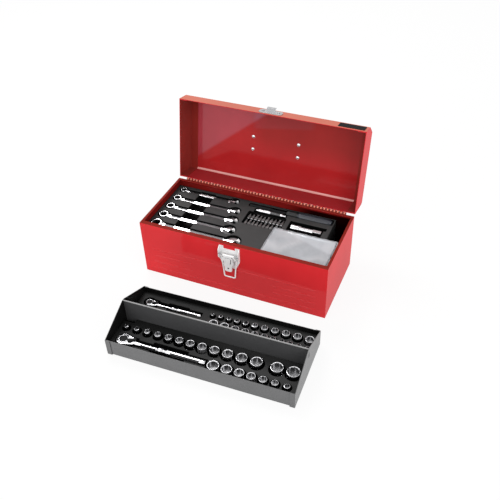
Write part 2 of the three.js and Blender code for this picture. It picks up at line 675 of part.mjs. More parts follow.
function makeLatchLever() {
  const wide = LEVER_HALF_WIDTH;
  const tip = LEVER_TIP_WIDTH / 2;
  const round = tip / 2;
  const plate = outline([
    [-wide, LEVER_TOP], [-wide, BAIL_PIVOT_HEIGHT - LUG_DEPTH], [-tip, LEVER_WAIST],
    [-tip, LEVER_TIP + round], [-tip + round, LEVER_TIP], [tip - round, LEVER_TIP],
    [tip, LEVER_TIP + round], [tip, LEVER_WAIST], [wide, BAIL_PIVOT_HEIGHT - LUG_DEPTH],
    [wide, LEVER_TOP],
  ]);
  const pieces = [prismY(plate, LEVER_FACE - LATCH_SHEET, LEVER_FACE)];
  const lugRim = LATCH_PIN_RADIUS + LATCH_SHEET;
  const lug = outline([
    [LEVER_FACE, BAIL_PIVOT_HEIGHT - lugRim], [BAIL_Y + lugRim, BAIL_PIVOT_HEIGHT - lugRim],
    [BAIL_Y + lugRim, BAIL_PIVOT_HEIGHT + lugRim], [PIVOT_Y + lugRim, LATCH_PIVOT_HEIGHT + lugRim],
    [LEVER_FACE, LATCH_PIVOT_HEIGHT + lugRim],
  ]);
  for (const side of [-1, 1]) {
    const outer = side * wide;
    const inner = outer - side * LATCH_SHEET;
    pieces.push(prismX(lug, Math.min(inner, outer), Math.max(inner, outer)));
  }
  const reach = LATCH_WIDTH / 2;
  return cut(joined(pieces), [
    rodX(LATCH_PIN_RADIUS + FIT, -reach, reach, PIVOT_Y, LATCH_PIVOT_HEIGHT, 12),
    rodX(BAIL_WIRE_RADIUS + FIT, -reach, reach, BAIL_Y, BAIL_PIVOT_HEIGHT, 12),
    rodY(PADLOCK_HOLE_RADIUS, LEVER_FACE - LATCH_SHEET - 1, LEVER_FACE + 1, 0,
      LEVER_TIP + LEVER_TIP_WIDTH / 2, 12),
  ]);
}

// The wire loop, bent from its two inturned ends down to the crossbar.
function makeBail() {
  const top = BAIL_PIVOT_HEIGHT;
  const low = BAIL_PIVOT_HEIGHT - BAIL_LENGTH;
  const inner = LEVER_HALF_WIDTH - LATCH_SHEET * 2;
  const bend = BAIL_WIRE_RADIUS * 1.6;
  const route = new THREE.CurvePath();
  const corners = [
    [-inner, top], [-BAIL_HALF_WIDTH, top], [-BAIL_FOOT_HALF_WIDTH, low],
    [BAIL_FOOT_HALF_WIDTH, low], [BAIL_HALF_WIDTH, top], [inner, top],
  ].map(([x, z]) => new THREE.Vector3(x, BAIL_Y, z));
  let from = corners[0];
  for (let index = 1; index < corners.length - 1; index += 1) {
    const corner = corners[index];
    const before = corners[index - 1].clone().sub(corner).setLength(bend).add(corner);
    const after = corners[index + 1].clone().sub(corner).setLength(bend).add(corner);
    route.add(new THREE.LineCurve3(from, before));
    route.add(new THREE.QuadraticBezierCurve3(before, corner, after));
    from = after;
  }
  route.add(new THREE.LineCurve3(from, corners[corners.length - 1]));
  const section = new THREE.Shape();
  section.absarc(0, 0, BAIL_WIRE_RADIUS, 0, Math.PI * 2, false);
  const geometry = new THREE.ExtrudeGeometry(section, {
    steps: 40, curveSegments: 3, bevelEnabled: false, extrudePath: route,
  });
  return toSolid(geometry);
}

function makeLatchPin() {
  const half = LATCH_WIDTH / 2;
  return rodX(LATCH_PIN_RADIUS, -half, half, PIVOT_Y, LATCH_PIVOT_HEIGHT, 12);
}

place('latch_base', makeLatchBase(), CHROME, toolbox);
place('latch_pin', makeLatchPin(), STEEL, toolbox);
place('latch_lever', makeLatchLever(), CHROME, toolbox);
place('latch_bail', makeBail(), CHROME, toolbox);
const bodyWrap = toolbox.getObjectByName('body_wrap');
const bodyRivetHoles = [];
for (const [sideName, side] of [['left', -1], ['right', 1]]) {
  place(`latch_rivet_${sideName}`, makeRivetY(side * LATCH_RIVET_X, LATCH_RIVET_Z,
    SIDE_FRONT + SHEET + FIT, LATCH_FACE - FIT), STEEL, toolbox);
  bodyRivetHoles.push(rodY(RIVET_SHANK_RADIUS + FIT, SIDE_FRONT - 1, SIDE_FRONT + SHEET + 1,
    side * LATCH_RIVET_X, LATCH_RIVET_Z, 10));
}
bodyWrap.geometry = toGeometry(cut(makeBodyWrap(), bodyRivetHoles));

// ---------------------------------------------------------------- spanners
const SPANNER_MIDDLE = INSERT_TOP + SPANNER_PROUD - RING_THICK / 2;
const SLOT_FLOOR = SPANNER_MIDDLE - RING_THICK / 2;
const JAW_FLOOR = SPANNER_MIDDLE - JAW_DROP - JAW_THICK / 2 - FIT;
const SHANK_FLOOR = SPANNER_MIDDLE - SHANK_DROP - SHANK_THICK / 2 - FIT;
// Half the shank's width at the jaw, as a share of its width at the ring
const SHANK_TAPER = 0.62;

function spannerSizes(size) {
  const ring = (size * 1.5 + 1) / 2;
  const jaw = size * 1.05;
  const length = SPANNER_BASE_LENGTH + SPANNER_LENGTH_PER_SIZE * size;
  return { ring, jaw, reach: length - ring - jaw, shank: size * 0.55 + 1.5 };
}

function spannerPlace(index) {
  return {
    x: END_LEFT + SPANNER_END_MARGIN,
    y: SIDE_FRONT + SPANNER_FRONT_MARGIN + index * SPANNER_PITCH,
  };
}

function makeSpanner(size) {
  const { ring, jaw, reach, shank } = spannerSizes(size);
  const shankOutline = outline([
    [0, -shank / 2], [reach, -shank * SHANK_TAPER], [reach, shank * SHANK_TAPER], [0, shank / 2],
  ]);
  const body = joined([
    rodZ(ring, -RING_THICK / 2, RING_THICK / 2, 0, 0, 18),
    rodZ(jaw, -JAW_DROP - JAW_THICK / 2, -JAW_DROP + JAW_THICK / 2, reach, 0, 16),
    prismZ(shankOutline, -SHANK_DROP - SHANK_THICK / 2, -SHANK_DROP + SHANK_THICK / 2),
  ]);
  const slot = new THREE.BoxGeometry(jaw * 2, size, RING_THICK);
  slot.translate(jaw * 1.25, 0, 0);
  slot.rotateZ(rad(JAW_ANGLE));
  slot.translate(reach, 0, 0);
  return cut(body, [toSolid(slot), rodZ(size / 2, -RING_THICK, RING_THICK, 0, 0, 12)]);
}

SPANNER_SIZES.forEach((size, index) => {
  const at = spannerPlace(index);
  const mesh = place(`spanner_${index + 1}`, makeSpanner(size), CHROME, toolbox);
  mesh.position.set(at.x, at.y, SPANNER_MIDDLE);
});

// ---------------------------------------------------------------- driver, bits, extension
const INSERT_RIGHT = BODY_LENGTH / 2 - INSERT_END_GAP;
const DRIVER_Y = SIDE_BACK - DRIVER_BACK_MARGIN;
const DRIVER_Z = INSERT_TOP - DRIVER_AXIS_DROP;
const DRIVER_HANDLE_END = INSERT_RIGHT - DRIVER_END_MARGIN;
const DRIVER_HANDLE_START = DRIVER_HANDLE_END - DRIVER_HANDLE_LENGTH;
const DRIVER_TIP = END_LEFT + DRIVER_START;
const DRIVER_SHAFT_LENGTH = DRIVER_HANDLE_START - DRIVER_TIP;
const DRIVER_SEAT = DRIVER_HANDLE_LENGTH / 4;

function makeDriverHandle() {
  const r = DRIVER_HANDLE_RADIUS;
  const long = DRIVER_HANDLE_LENGTH;
  const bore = DRIVER_SHANK_RADIUS + FIT;
  return turnedX([
    [DRIVER_SEAT, 0], [DRIVER_SEAT, bore], [0, bore], [0, r * 0.7], [long * 0.02, r * 0.88],
    [long * 0.23, r * 0.88], [long * 0.25, r * 0.7], [long * 0.28, r * 0.94], [long * 0.6, r],
    [long * 0.9, r * 0.96], [long * 0.98, r * 0.78], [long, r * 0.5], [long, 0],
  ], DRIVER_HANDLE_START, DRIVER_Y, DRIVER_Z);
}

function makeDriverShaft() {
  const nose = DRIVER_NOSE_RADIUS;
  const shank = DRIVER_SHANK_RADIUS;
  const noseLong = DRIVER_SHAFT_LENGTH * DRIVER_NOSE_SHARE;
  const end = DRIVER_SHAFT_LENGTH + DRIVER_SEAT - FIT;
  const socket = nose * 0.6;
  const shaft = turnedX([
    [0, 0], [0, nose * 0.9], [nose * 0.2, nose], [noseLong - nose * 0.4, nose],
    [noseLong, shank], [end, shank], [end, 0],
  ], DRIVER_TIP, DRIVER_Y, DRIVER_Z, 12);
  return shaft.subtract(rodX(socket, DRIVER_TIP - 1, DRIVER_TIP + noseLong / 2, DRIVER_Y,
    DRIVER_Z, 6));
}

place('driver_handle', makeDriverHandle(), BLACK, toolbox);
place('driver_shaft', makeDriverShaft(), BLACK, toolbox);

const HOLDER_X = DRIVER_TIP + HOLDER_SET_IN;
const HOLDER_Y = SIDE_BACK - HOLDER_BACK_MARGIN;
const HOLDER_Z = INSERT_TOP - HOLDER_AXIS_DROP;

function makeBitHolder() {
  const wide = HOLDER_RADIUS;
  const sleeve = HOLDER_SLEEVE_LENGTH;
  const collar = HOLDER_COLLAR_START;
  const long = HOLDER_LENGTH;
  const neck = wide * 0.88;
  const slim = wide * 0.6;
  return turnedX([
    [0, 0], [0, slim], [sleeve / 6, slim], [sleeve / 5, wide], [sleeve, wide], [sleeve + 1, neck],
    [collar, neck], [collar + 1, wide * 0.96], [collar + wide, wide * 0.96], [collar + wide, slim],
    [long, slim * 0.9], [long, 0],
  ], HOLDER_X, HOLDER_Y, HOLDER_Z);
}

place('bit_holder', makeBitHolder(), CHROME, toolbox);

const BIT_FLOOR = INSERT_TOP - BIT_FIELD_DEPTH;
const CLIP_HEIGHT = BIT_FIELD_DEPTH / 2 - 1;
const BIT_MIDDLE_X = END_LEFT + BIT_FIELD_START + BIT_FIELD_LENGTH / 2;
const BIT_FRONT_REACH = BIT_LENGTH * 0.4;
const BIT_BACK_REACH = BIT_LENGTH * 0.5;
const BIT_ROW_STEP = BIT_FRONT_REACH + BIT_BACK_REACH + BIT_CLEARANCE;
const BIT_FIELD_WIDTH = BIT_ROW_STEP * 2 + BIT_CLEARANCE;
const BIT_FIELD_Y = SIDE_BACK - BIT_FIELD_BACK_MARGIN - BIT_FIELD_WIDTH;
const BIT_ROW_Y = [0, 1].map((index) => BIT_FIELD_Y + BIT_CLEARANCE + BIT_FRONT_REACH
  + index * BIT_ROW_STEP);

function bitX(index) {
  return BIT_MIDDLE_X + (index - (BIT_ROW - 1) / 2) * BIT_PITCH;
}

// A plastic bar with a cradle under each bit.
function makeClip(y) {
  const edge = BIT_PITCH / 2;
  const bar = box(bitX(0) - edge, bitX(BIT_ROW - 1) + edge, y - CLIP_WIDTH / 2, y + CLIP_WIDTH / 2,
    BIT_FLOOR, BIT_FLOOR + CLIP_HEIGHT);
  const webGroove = box(bitX(0) - edge, bitX(BIT_ROW - 1) + edge, y - 1 - FIT, y + 1 + FIT,
    bitZ() - BIT_RADIUS - FIT, BIT_FLOOR + CLIP_HEIGHT + 1);
  const cradles = Array.from({ length: BIT_ROW }, (_, index) => rodY(BIT_RADIUS + FIT, y - CLIP_WIDTH,
    y + CLIP_WIDTH, bitX(index), bitZ(), 6));
  return cut(bar, [webGroove, ...cradles]);
}

function bitZ() {
  return BIT_FLOOR + CLIP_HEIGHT + BIT_RADIUS / 3;
}

// One row of bits, held together by a narrow web in the clip's groove.
function makeBits(y) {
  const pieces = [box(bitX(0), bitX(BIT_ROW - 1), y - 1, y + 1, bitZ() - BIT_RADIUS / 2, bitZ())];
  for (let index = 0; index < BIT_ROW; index += 1) {
    pieces.push(rodY(BIT_RADIUS, y - BIT_FRONT_REACH, y + BIT_LENGTH * 0.1, bitX(index), bitZ(), 6));
    pieces.push(rodY(BIT_RADIUS * 0.6, y, y + BIT_BACK_REACH, bitX(index), bitZ(), 6));
  }
  return joined(pieces);
}

['front', 'back'].forEach((name, index) => {
  place(`bit_clip_${name}`, makeClip(BIT_ROW_Y[index]), BLACK, toolbox);
  place(`bits_${name}`, makeBits(BIT_ROW_Y[index]), STEEL, toolbox);
});

const EXTENSION_X = END_LEFT + EXTENSION_START;
const EXTENSION_Y = SIDE_BACK - EXTENSION_BACK_MARGIN;
const EXTENSION_FLOOR = INSERT_TOP - EXTENSION_POCKET_DEPTH;
const EXTENSION_Z = EXTENSION_FLOOR + EXTENSION_SEAT_HEIGHT + EXTENSION_RADIUS + FIT;

function makeExtension() {
  const wide = EXTENSION_RADIUS;
  const body = EXTENSION_BODY_LENGTH;
  const neck = EXTENSION_SQUARE * 0.62;
  const half = EXTENSION_SQUARE / 2;
  const bar = turnedX([
    [0, 0], [0, wide * 0.92], [1, wide], [body * 0.4, wide], [body * 0.46, neck],
    [body, neck], [body, 0],
  ], EXTENSION_X, EXTENSION_Y, EXTENSION_Z);
  const square = box(EXTENSION_X + body - 1, EXTENSION_X + EXTENSION_LENGTH, EXTENSION_Y - half,
    EXTENSION_Y + half, EXTENSION_Z - half, EXTENSION_Z + half);
  const socket = box(EXTENSION_X - 1, EXTENSION_X + body * 0.2, EXTENSION_Y - half, EXTENSION_Y + half,
    EXTENSION_Z - half, EXTENSION_Z + half);
  return bar.add(square).subtract(socket);
}

place('extension_bar', makeExtension(), CHROME, toolbox);

// ---------------------------------------------------------------- insert in the box
function slotZ(x0, x1, y0, y1, floor) {
  return box(x0, x1, y0, y1, floor, INSERT_TOP + 1);
}

function makeBaseInsert() {
  const left = END_LEFT + SHEET * 2 + FIT;
  const wallGap = SHEET + Math.max(SHEET, FIT + RIVET_HEAD_RISE) + FIT;
  const front = SIDE_FRONT + wallGap;
  const back = SIDE_BACK - wallGap;
  const under = INSERT_TOP - INSERT_DECK;
  const block = box(left, INSERT_RIGHT, front, back, SHEET * 2, INSERT_TOP);
  const hollow = box(left + INSERT_SKIRT, INSERT_RIGHT - INSERT_SKIRT, front + INSERT_SKIRT,
    back - INSERT_SKIRT, SHEET, under);
  const tools = [hollow];
  SPANNER_SIZES.forEach((size, index) => {
    const { ring, jaw, reach, shank } = spannerSizes(size);
    const at = spannerPlace(index);
    const half = shank * SHANK_TAPER + SHANK_CLEARANCE;
    tools.push(rodZ(ring + SLOT_CLEARANCE, SLOT_FLOOR, INSERT_TOP + 1, at.x, at.y, 16));
    tools.push(rodZ(jaw + SLOT_CLEARANCE, JAW_FLOOR, INSERT_TOP + 1, at.x + reach, at.y, 16));
    tools.push(slotZ(at.x, at.x + reach, at.y - half, at.y + half, SHANK_FLOOR));
  });
  const troughStart = END_LEFT + FINGER_TROUGH_START;
  tools.push(slotZ(troughStart, troughStart + FINGER_TROUGH_LENGTH, spannerPlace(0).y,
    spannerPlace(SPANNER_SIZES.length - 1).y + SPANNER_PITCH / 4, INSERT_TOP - FINGER_TROUGH_DEPTH));
  const driverFloor = DRIVER_Z - DRIVER_HANDLE_RADIUS - FIT;
  const driverHalf = DRIVER_POCKET_WIDTH / 2;
  const shaftHalf = DRIVER_SLOT_WIDTH / 2;
  tools.push(slotZ(DRIVER_TIP - SLOT_CLEARANCE, DRIVER_HANDLE_START, DRIVER_Y - shaftHalf,
    DRIVER_Y + shaftHalf, driverFloor));
  tools.push(slotZ(DRIVER_HANDLE_START - SLOT_CLEARANCE, DRIVER_HANDLE_END + SLOT_CLEARANCE,
    DRIVER_Y - driverHalf, DRIVER_Y + driverHalf, driverFloor));
  tools.push(slotZ(HOLDER_X - SLOT_CLEARANCE, HOLDER_X + HOLDER_LENGTH + SLOT_CLEARANCE,
    BIT_FIELD_Y + BIT_FIELD_WIDTH - FIT, HOLDER_Y + HOLDER_RADIUS + HOLDER_CLEARANCE,
    HOLDER_Z - HOLDER_RADIUS - FIT));
  tools.push(slotZ(END_LEFT + BIT_FIELD_START, END_LEFT + BIT_FIELD_START + BIT_FIELD_LENGTH,
    BIT_FIELD_Y, BIT_FIELD_Y + BIT_FIELD_WIDTH, BIT_FLOOR));
  const extensionHalf = EXTENSION_POCKET_WIDTH / 2;
  const pocketLeft = EXTENSION_X - EXTENSION_POCKET_SPARE;
  const pocketRight = EXTENSION_X + EXTENSION_LENGTH + EXTENSION_POCKET_SPARE;
  const pocketFront = EXTENSION_Y - extensionHalf;
  tools.push(slotZ(pocketLeft, pocketRight - EXTENSION_STEP_LENGTH, pocketFront,
    EXTENSION_Y + extensionHalf, EXTENSION_FLOOR));
  tools.push(slotZ(pocketLeft, pocketRight, pocketFront + EXTENSION_STEP_WIDTH,
    EXTENSION_Y + extensionHalf, EXTENSION_FLOOR));
  const seats = [0.2, 0.55].map((share) => box(
    EXTENSION_X + EXTENSION_LENGTH * share, EXTENSION_X + EXTENSION_LENGTH * share + SLOT_CLEARANCE,
    EXTENSION_Y - EXTENSION_RADIUS, EXTENSION_Y + EXTENSION_RADIUS,
    EXTENSION_FLOOR - 1, EXTENSION_Z - (share > 0.4 ? EXTENSION_SQUARE * 0.62 : EXTENSION_RADIUS) - FIT,
  ));
  return joined([cut(block, tools), ...seats]);
}

place('base_insert', makeBaseInsert(), PLASTIC, toolbox);

function makeBag() {
  const x1 = BODY_LENGTH / 2 - BAG_END_MARGIN;
  const x0 = x1 - BAG_LENGTH;
  const y0 = SIDE_FRONT + BAG_FRONT_MARGIN;
  const y1 = EXTENSION_Y - EXTENSION_RADIUS - BAG_BACK_GAP;
  const low = INSERT_TOP + SPANNER_PROUD + FIT;
  const high = low + BAG_THICK;
  const section = outline([
    [y0, low + BAG_EDGE / 2], [y0 + BAG_EDGE, low], [y1 - BAG_EDGE, low], [y1, low + BAG_EDGE / 2],
    [y1 - BAG_EDGE * 4, high], [y0 + BAG_EDGE * 4, high],
  ]);
  return prismX(section, x0, x1);
}

place('parts_bag', makeBag(), BAG_FILM, toolbox);

// ---------------------------------------------------------------- tray
// Drawn with its front left bottom corner at the group's origin.
const tray = new THREE.Group();
tray.position.set(END_LEFT + TRAY_SHIFT, SIDE_FRONT - TRAY_AHEAD - BODY_WIDTH / 2, 0);
tray.rotation.z = rad(TRAY_YAW);
toolbox.add(tray);

const LAP = TRAY_SHEET + FIT;

// The line of a row or a ratchet, from the tray's front.
function lineOf(item) {
  return item.backMargin === undefined ? item.frontMargin : TRAY_WIDTH - item.backMargin;
}

function makeTrayWrap() {
  const x0 = LAP;
  const x1 = TRAY_LENGTH - LAP;
  return joined([
    box(x0, x1, LAP, TRAY_WIDTH - LAP, LAP, LAP + TRAY_SHEET),
    box(x0, x1, LAP, LAP + TRAY_SHEET, LAP, TRAY_WALL),
    box(x0, x1, TRAY_WIDTH - LAP - TRAY_SHEET, TRAY_WIDTH - LAP, LAP, TRAY_WALL),
  ]);
}

// A gabled end panel with flanges lapped round the front, the back and the floor.
function makeTrayEnd(side) {
  const outer = side < 0 ? 0 : TRAY_LENGTH;
  const inner = outer - side * TRAY_SHEET;
  const lapEnd = outer - side * TRAY_LAP;
  const middle = TRAY_WIDTH / 2;
  const gable = outline([
    [0, 0], [TRAY_WIDTH, 0], [TRAY_WIDTH, TRAY_WALL], [middle + TRAY_PEAK_FLAT / 2, TRAY_PEAK],
    [middle - TRAY_PEAK_FLAT / 2, TRAY_PEAK], [0, TRAY_WALL],
  ]);
  const slot = new THREE.Shape();
  const slotHalf = TRAY_SLOT_WIDTH / 2;
  slot.absarc(middle, TRAY_SLOT_UP + TRAY_SLOT_HEIGHT - slotHalf, slotHalf, 0, Math.PI, false);
  slot.absarc(middle, TRAY_SLOT_UP + slotHalf, slotHalf, Math.PI, Math.PI * 2, false);
  const low = Math.min(inner, outer);
  const panel = joined([
    prismX(gable, low, low + TRAY_SHEET),
    box(outer, lapEnd, 0, TRAY_SHEET, 0, TRAY_WALL),
    box(outer, lapEnd, TRAY_WIDTH - TRAY_SHEET, TRAY_WIDTH, 0, TRAY_WALL),
    box(outer, lapEnd, 0, TRAY_WIDTH, 0, TRAY_SHEET),
  ]);
  return side < 0 ? panel : panel.subtract(prismX(slot, low - 1, low + TRAY_SHEET + 1, 6));
}

// The sheet between the two compartments, with a foot on the floor and a hemmed top.
function makeDivider() {
  const middle = TRAY_WIDTH / 2;
  const floor = LAP + TRAY_SHEET + FIT;
  const half = TRAY_SHEET / 2;
  const hem = TRAY_HEM / 2;
  const hemFoot = TRAY_PEAK - TRAY_HEM_HEIGHT;
  const section = outline([
    [middle - half, floor], [middle + TRAY_LAP / 2, floor], [middle + TRAY_LAP / 2, floor + TRAY_SHEET],
    [middle + half, floor + TRAY_SHEET], [middle + half, hemFoot], [middle + hem, hemFoot],
    [middle + hem, TRAY_PEAK - hem], [middle + hem / 2, TRAY_PEAK], [middle - hem / 2, TRAY_PEAK],
    [middle - hem, TRAY_PEAK - hem], [middle - hem, hemFoot], [middle - half, hemFoot],
  ]);
  return prismX(section, LAP, TRAY_LENGTH - LAP);
}

place('tray_wrap', makeTrayWrap(), TRAY_PAINT, tray);
place('tray_end_left', makeTrayEnd(-1), TRAY_PAINT, tray);
place('tray_end_right', makeTrayEnd(1), TRAY_PAINT, tray);
place('tray_divider', makeDivider(), TRAY_PAINT, tray);

// ---------------------------------------------------------------- sockets
const TRAY_FLOOR = LAP + TRAY_SHEET + FIT;

function socketsOf(row) {
  const sockets = [];
  const growth = (row.lastDiameter - row.firstDiameter) / (row.count - 1);
  let x = row.startMargin;
  for (let index = 0; index < row.count; index += 1) {
    const radius = (row.firstDiameter + growth * index) / 2;
    if (index > 0) {
      x += Math.max(row.pitch, sockets[index - 1].radius + radius + row.spacing);
      x += index === row.breakAfter ? row.breakLength : 0;
    }
    sockets.push({ x, y: lineOf(row), radius });
  }
  return sockets;
}

// One row of sockets standing on a thin strip under the insert.
function makeSocketRow(row) {
  const sockets = socketsOf(row);
  const first = sockets[0];
  const last = sockets[sockets.length - 1];
  const half = SOCKET_WEB_WIDTH / 2;
  const foot = TRAY_FLOOR + SOCKET_WEB / 2;
  const top = TRAY_FLOOR + row.height;
  const bodies = [box(first.x, last.x, first.y - half, first.y + half, TRAY_FLOOR,
    TRAY_FLOOR + SOCKET_WEB)];
  const bores = [];
  for (const { x, y, radius } of sockets) {
    bodies.push(rodZ(radius, foot, top, x, y, SOCKET_SIDES));
    bores.push(rodZ(radius * SOCKET_WALL_SHARE, top - SOCKET_BORE_DEPTH, top + 1, x, y, SOCKET_SIDES / 2));
  }
  return cut(joined(bodies), bores);
}

for (const [letter, row] of Object.entries(SOCKET_ROWS)) {
  place(`sockets_row_${letter}`, makeSocketRow(row), CHROME, tray);
}

// ---------------------------------------------------------------- ratchets
const RATCHET_FLOOR_DROP = 11;
const RATCHET_FLOOR = TRAY_INSERT_TOP - RATCHET_FLOOR_DROP;

function ratchetSizes(kind) {
  const { length, headRadius: head, squareWidth: square } = kind;
  return {
    length,
    head,
    square,
    thick: head * 0.95,
    pawlX: head * 1.15,
    pawl: head * 0.72,
    neck: head * 0.3,
    collarX: length * 0.42,
    gripX: length * 0.5,
    grip: head * 0.42,
    drive: head * 0.55,
    lever: head * 0.34,
  };
}

// Head, neck and handle in one forging, drawn from the head's centre along X.
function makeRatchetBody(kind) {
  const s = ratchetSizes(kind);
  const end = s.length - s.head;
  const half = s.thick / 2;
  const collar = s.neck * 1.5;
  const cheek = outline([
    [0, -s.head], [s.pawlX, -s.pawl], [s.pawlX, s.pawl], [0, s.head],
  ]);
  const shaft = turnedX([
    [s.pawlX * 0.5, 0], [s.pawlX * 0.5, s.neck], [s.pawlX + s.pawl, s.neck * 1.2],
    [s.collarX - collar, s.neck], [s.collarX - collar * 0.5, collar],
    [s.collarX + collar * 0.5, collar], [s.collarX + collar, s.neck],
    [s.gripX, s.grip], [end - s.grip * 0.3, s.grip], [end, s.grip * 0.7], [end, 0],
  ], 0, 0, 0, 12);
  const drop = s.thick - s.thick / 2;
  return cut(joined([
    rodZ(s.head, -half, half, 0, 0, 20),
    rodZ(s.pawl, -half, half, s.pawlX, 0, 14),
    prismZ(cheek, -half, half),
    shaft,
  ]), [
    rodZ(s.drive + FIT, -half - 1, half + 1, 0, 0, 16),
    rodZ(s.lever + FIT, half - drop / 2, half + 1, s.pawlX, 0, 10),
  ]);
}

// The turning drive: a dial flush with the top and a square below the head.
function makeRatchetDrive(kind) {
  const s = ratchetSizes(kind);
  const half = s.thick / 2;
  const square = s.square / 2;
  return rodZ(s.drive, -half, half + FIT, 0, 0, 16)
    .add(box(-square, square, -square, square, -half - s.square * 0.9, -half + 1));
}

// The reversing lever: a hub in the head and a short thumb piece over it.
function makeRatchetLever(kind) {
  const s = ratchetSizes(kind);
  const half = s.thick / 2;
  const drop = s.thick - s.thick / 2;
  const arm = outline([
    [-s.lever, -s.lever * 0.5], [s.pawl * 1.1, -s.lever * 0.3], [s.pawl * 1.1, s.lever * 0.3],
    [-s.lever, s.lever * 0.5],
  ]);
  return rodZ(s.lever, half - drop / 2 + FIT, half + FIT * 2, 0, 0, 10)
    .add(prismZ(arm, half + FIT, half + FIT + s.lever * 0.5));
}

for (const [name, kind] of Object.entries(RATCHETS)) {
  const s = ratchetSizes(kind);
  const ratchet = new THREE.Group();
  ratchet.position.set(kind.startMargin + s.head, lineOf(kind), RATCHET_FLOOR + FIT + s.thick / 2);
  tray.add(ratchet);
  place(`ratchet_${name}_body`, makeRatchetBody(kind), CHROME, ratchet);
  place(`ratchet_${name}_drive`, makeRatchetDrive(kind), BLACK, ratchet);
  const lever = place(`ratchet_${name}_lever`, makeRatchetLever(kind), BLACK, ratchet);
  lever.position.x = s.pawlX;
  lever.rotation.z = rad(30);
}

// ---------------------------------------------------------------- inserts in the tray
function trayPocket(x0, x1, y0, y1, floor) {
  return box(x0, x1, y0, y1, floor, TRAY_INSERT_TOP + 1);
}

// Deck with a skirt down to the tray floor, a hole for each socket and a slot for a ratchet.
function makeTrayInsert(y0, y1, rows, kind) {
  const x0 = LAP + FIT;
  const x1 = TRAY_LENGTH - LAP - FIT;
  const under = TRAY_INSERT_TOP - TRAY_INSERT_DECK;
  const s = ratchetSizes(kind);
  const headX = kind.startMargin + s.head;
  const line = lineOf(kind);
  const gap = RATCHET_SLOT_CLEARANCE;
  const block = box(x0, x1, y0, y1, TRAY_FLOOR, TRAY_INSERT_TOP);
  const hollow = box(x0 + TRAY_INSERT_SKIRT, x1 - TRAY_INSERT_SKIRT, y0 + TRAY_INSERT_SKIRT,
    y1 - TRAY_INSERT_SKIRT, TRAY_FLOOR - 1, under);
  const tools = [
    hollow,
    rodZ(s.head + gap, RATCHET_FLOOR, TRAY_INSERT_TOP + 1, headX, line, 18),
    rodZ(s.square, under - 1, TRAY_INSERT_TOP + 1, headX, line, 12),
    trayPocket(headX, headX + s.pawlX + s.pawl + gap, line - s.pawl - gap,
      line + s.pawl + gap, RATCHET_FLOOR),
    trayPocket(headX, headX + s.length - s.head + gap, line - s.grip - gap,
      line + s.grip + gap, RATCHET_FLOOR),
    trayPocket(headX + s.collarX - kind.cutLength / 4, headX + s.collarX + kind.cutLength * 0.75,
      line - s.head, line + s.head, RATCHET_FLOOR),
  ];
  for (const row of rows) {
    for (const { x, y, radius } of socketsOf(row)) {
      tools.push(rodZ(radius + row.clearance, under - 1, TRAY_INSERT_TOP + 1, x, y, SOCKET_SIDES));
    }
  }
  return cut(block, tools);
}

const dividerFront = TRAY_WIDTH / 2 - TRAY_SHEET / 2 - FIT;
const dividerBack = TRAY_WIDTH / 2 + TRAY_SHEET / 2 + FIT;
const trayInner = TRAY_FLOOR;
const frontInsert = makeTrayInsert(trayInner, dividerFront, [SOCKET_ROWS.a, SOCKET_ROWS.b],
  RATCHETS.large).subtract(trayPocket(0, TRAY_NOTCH_LENGTH, dividerFront - TRAY_NOTCH_WIDTH,
  dividerFront + 1, RATCHET_FLOOR));
place('tray_insert_front', frontInsert, PLASTIC, tray);
const footRoom = box(0, TRAY_LENGTH, TRAY_WIDTH / 2, TRAY_WIDTH / 2 + TRAY_LAP / 2 + FIT,
  0, TRAY_FLOOR + TRAY_SHEET + FIT);
place('tray_insert_back', makeTrayInsert(dividerBack, TRAY_WIDTH - trayInner,
  [SOCKET_ROWS.c, SOCKET_ROWS.d], RATCHETS.small).subtract(footRoom), PLASTIC, tray);

export default toolbox;
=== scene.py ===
import json
import math

import bmesh
import bpy
from bpy.props import FloatProperty, FloatVectorProperty, IntProperty, PointerProperty
from mathutils import Matrix, Vector, noise

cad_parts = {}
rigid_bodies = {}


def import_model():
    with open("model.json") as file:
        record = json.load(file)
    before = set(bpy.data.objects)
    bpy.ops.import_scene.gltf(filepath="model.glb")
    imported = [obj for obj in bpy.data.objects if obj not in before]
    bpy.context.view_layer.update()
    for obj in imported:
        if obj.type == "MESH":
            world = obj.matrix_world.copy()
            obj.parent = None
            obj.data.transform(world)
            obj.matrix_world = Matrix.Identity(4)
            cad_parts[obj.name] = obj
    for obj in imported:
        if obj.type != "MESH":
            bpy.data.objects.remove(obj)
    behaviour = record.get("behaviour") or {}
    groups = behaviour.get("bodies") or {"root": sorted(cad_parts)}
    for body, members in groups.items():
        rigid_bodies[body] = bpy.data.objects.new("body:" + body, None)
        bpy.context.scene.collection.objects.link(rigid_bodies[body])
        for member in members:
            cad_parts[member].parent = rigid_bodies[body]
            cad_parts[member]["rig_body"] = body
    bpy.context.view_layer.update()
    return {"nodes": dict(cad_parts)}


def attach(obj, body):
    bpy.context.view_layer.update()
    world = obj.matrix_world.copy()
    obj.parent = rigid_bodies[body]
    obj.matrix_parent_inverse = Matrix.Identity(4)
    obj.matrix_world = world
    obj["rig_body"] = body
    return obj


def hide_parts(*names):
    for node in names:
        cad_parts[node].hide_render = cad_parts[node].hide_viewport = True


bl_info = {
    "name": "Toolbox with Tray",
    "version": (1, 0, 0),
    "blender": (4, 5, 0),
    "location": "3D View > Sidebar > Toolbox",
    "description": "Builds the finished toolbox, its tray and its tools over the packed frame",
    "category": "Object",
}

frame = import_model()

# ------------------------------------------------------------------ where things stand
def shifted(x, y, z):
    return Matrix.Translation((x, y, z))


def turned_by(degrees, axis="Z"):
    return Matrix.Rotation(math.radians(degrees), 4, axis)


